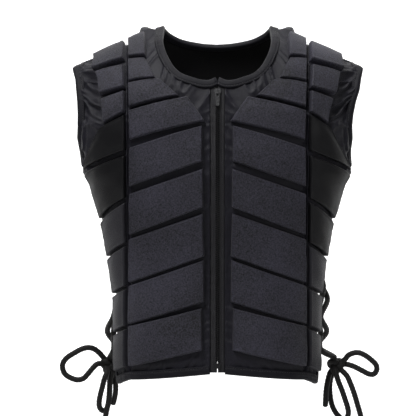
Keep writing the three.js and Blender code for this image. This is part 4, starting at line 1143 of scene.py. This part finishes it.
def zip_teeth(side_name, side, phase):
    """Moulded teeth whose heads reach past the centre line between the other side's."""
    ups = np.linspace(HEM_UP + TEETH_START, SLIDER_UP + TEETH_PAST_SLIDER, 2000)
    run = run_along(spot("front", 0.0, ups))
    points, faces = [], []
    sides = len(TOOTH_OUTLINE)
    for n in range(int((run[-1] - phase) / TOOTH_PITCH)):
        up = np.interp(phase + n * TOOTH_PITCH, run, ups)
        centre = spot("front", 0.0, up)
        along = unit(slopes("front", np.array(0.0), np.array(up))[1])
        normal = outward("front", 0.0, up)
        base = len(points)
        for height, share in TOOTH_LEVELS:
            for x, z in TOOTH_OUTLINE:
                out = (TOOTH_MIDDLE + (x - TOOTH_MIDDLE) * share) * side
                points.append(centre + np.array([out, 0, 0]) + along * z * share + normal * height)
        for level in range(2):
            for k in range(sides):
                a, b = base + level * sides + k, base + level * sides + (k + 1) % sides
                faces.append((a, b, b + sides, a + sides))
        faces.append(tuple(base + 2 * sides + k for k in range(sides)))
    obj = piece(f"zip_teeth_{side_name}", np.array(points), faces, [teeth_plastic])
    obj.data.polygons.foreach_set("use_smooth", [False] * len(obj.data.polygons))
    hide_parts(f"zip_half_{side_name}")


for side_name, side in SIDES:
    trim[side_name] += zip_tape(side_name, side)
    zip_teeth(side_name, side, TOOTH_PITCH / 2 if side > 0 else 0.0)

# each with its edges' bevel, in millimetres
for name, width in (("zip_slider", 0.35), ("zip_pull", 0.4), ("zip_bottom_box", 0.5)):
    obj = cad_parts[name]
    obj.data.materials.clear()
    obj.data.materials.append(teeth_plastic if name == "zip_bottom_box" else metal)
    bevel = obj.modifiers.new("bevel", "BEVEL")
    bevel.width = width * MM
    bevel.segments = 2
    bevel.limit_method = "ANGLE"

# each panel's cloth as cut: width, length and area, in metres and square metres
CUTS = {"left": (0.27, 0.62, 0.12), "right": (0.27, 0.62, 0.12), "back": (0.53, 0.60, 0.246)}
for key, (obj, inside) in shells.items():
    width, length, area = CUTS[key]

# Floor, backdrop and light

FLOOR = -1.25


BACKDROP_HALF_WIDTH = 7
BACKDROP_FRONT = -6
BACKDROP_BACK = 3.5
BACKDROP_TOP = 5
BACKDROP_TURN = 1.3


def backdrop():
    """A pale floor that turns up into a lit wall."""
    turn = [(BACKDROP_FRONT, FLOOR)]
    for a in np.linspace(0, math.pi / 2, 16):
        turn.append((BACKDROP_BACK - BACKDROP_TURN * (1 - math.sin(a)),
                     FLOOR + BACKDROP_TURN * (1 - math.cos(a))))
    turn.append((BACKDROP_BACK, BACKDROP_TOP))
    mesh = bpy.data.meshes.new("backdrop")
    points = [(x, y, z) for y, z in turn for x in (-BACKDROP_HALF_WIDTH, BACKDROP_HALF_WIDTH)]
    mesh.from_pydata(points, [], [(2 * k, 2 * k + 1, 2 * k + 3, 2 * k + 2) for k in range(len(turn) - 1)])
    mesh.polygons.foreach_set("use_smooth", [True] * len(mesh.polygons))
    obj = bpy.data.objects.new("backdrop", mesh)
    bpy.context.scene.collection.objects.link(obj)
    material = bpy.data.materials.new("backdrop_paint")
    material.use_nodes = True
    shader = material.node_tree.nodes["Principled BSDF"]
    shader.inputs["Base Color"].default_value = (0.8, 0.8, 0.8, 1)
    shader.inputs["Roughness"].default_value = 0.9
    shader.inputs["Specular IOR Level"].default_value = 0.1
    shader.inputs["Emission Color"].default_value = (1, 1, 1, 1)
    shader.inputs["Emission Strength"].default_value = 0.95
    floor = material.copy()
    floor.name = "floor_paint"
    floor.node_tree.nodes["Principled BSDF"].inputs["Emission Strength"].default_value = 0
    mesh.materials.append(material)
    mesh.materials.append(floor)
    mesh.polygons[0].material_index = 1
    return obj


def softbox(name, place, target, size, power):
    """A square or oblong light that faces its target."""
    data = bpy.data.lights.new(name, "AREA")
    data.shape = "RECTANGLE"
    data.size, data.size_y = size
    data.energy = power
    obj = bpy.data.objects.new(name, data)
    obj.location = place
    direction = np.array(target, float) - np.array(place, float)
    obj.rotation_euler = (
        math.atan2(math.hypot(direction[0], direction[1]), -direction[2]), 0,
        math.atan2(direction[1], direction[0]) - math.pi / 2,
    )
    bpy.context.scene.collection.objects.link(obj)


backdrop()
softbox("key", (-0.9, -1.6, 1.8), (0, 0, -0.25), (0.8, 0.8), 66)
softbox("fill", (1.5, -2.1, 0.3), (0, 0, -0.3), (1.0, 1.4), 8)
softbox("top", (0, -0.1, 1.6), (0, 0, -0.2), (1.4, 0.7), 22)
softbox("rim_left", (-1.9, 0.7, 0.2), (0, 0, -0.3), (0.6, 1.8), 6)
softbox("rim_right", (1.9, 0.7, 0.2), (0, 0, -0.3), (0.6, 1.8), 5)
world = bpy.data.worlds.new("world")
bpy.context.scene.world = world
world.use_nodes = True
world.node_tree.nodes["Background"].inputs["Color"].default_value = (1, 1, 1, 1)
world.node_tree.nodes["Background"].inputs["Strength"].default_value = 0.09
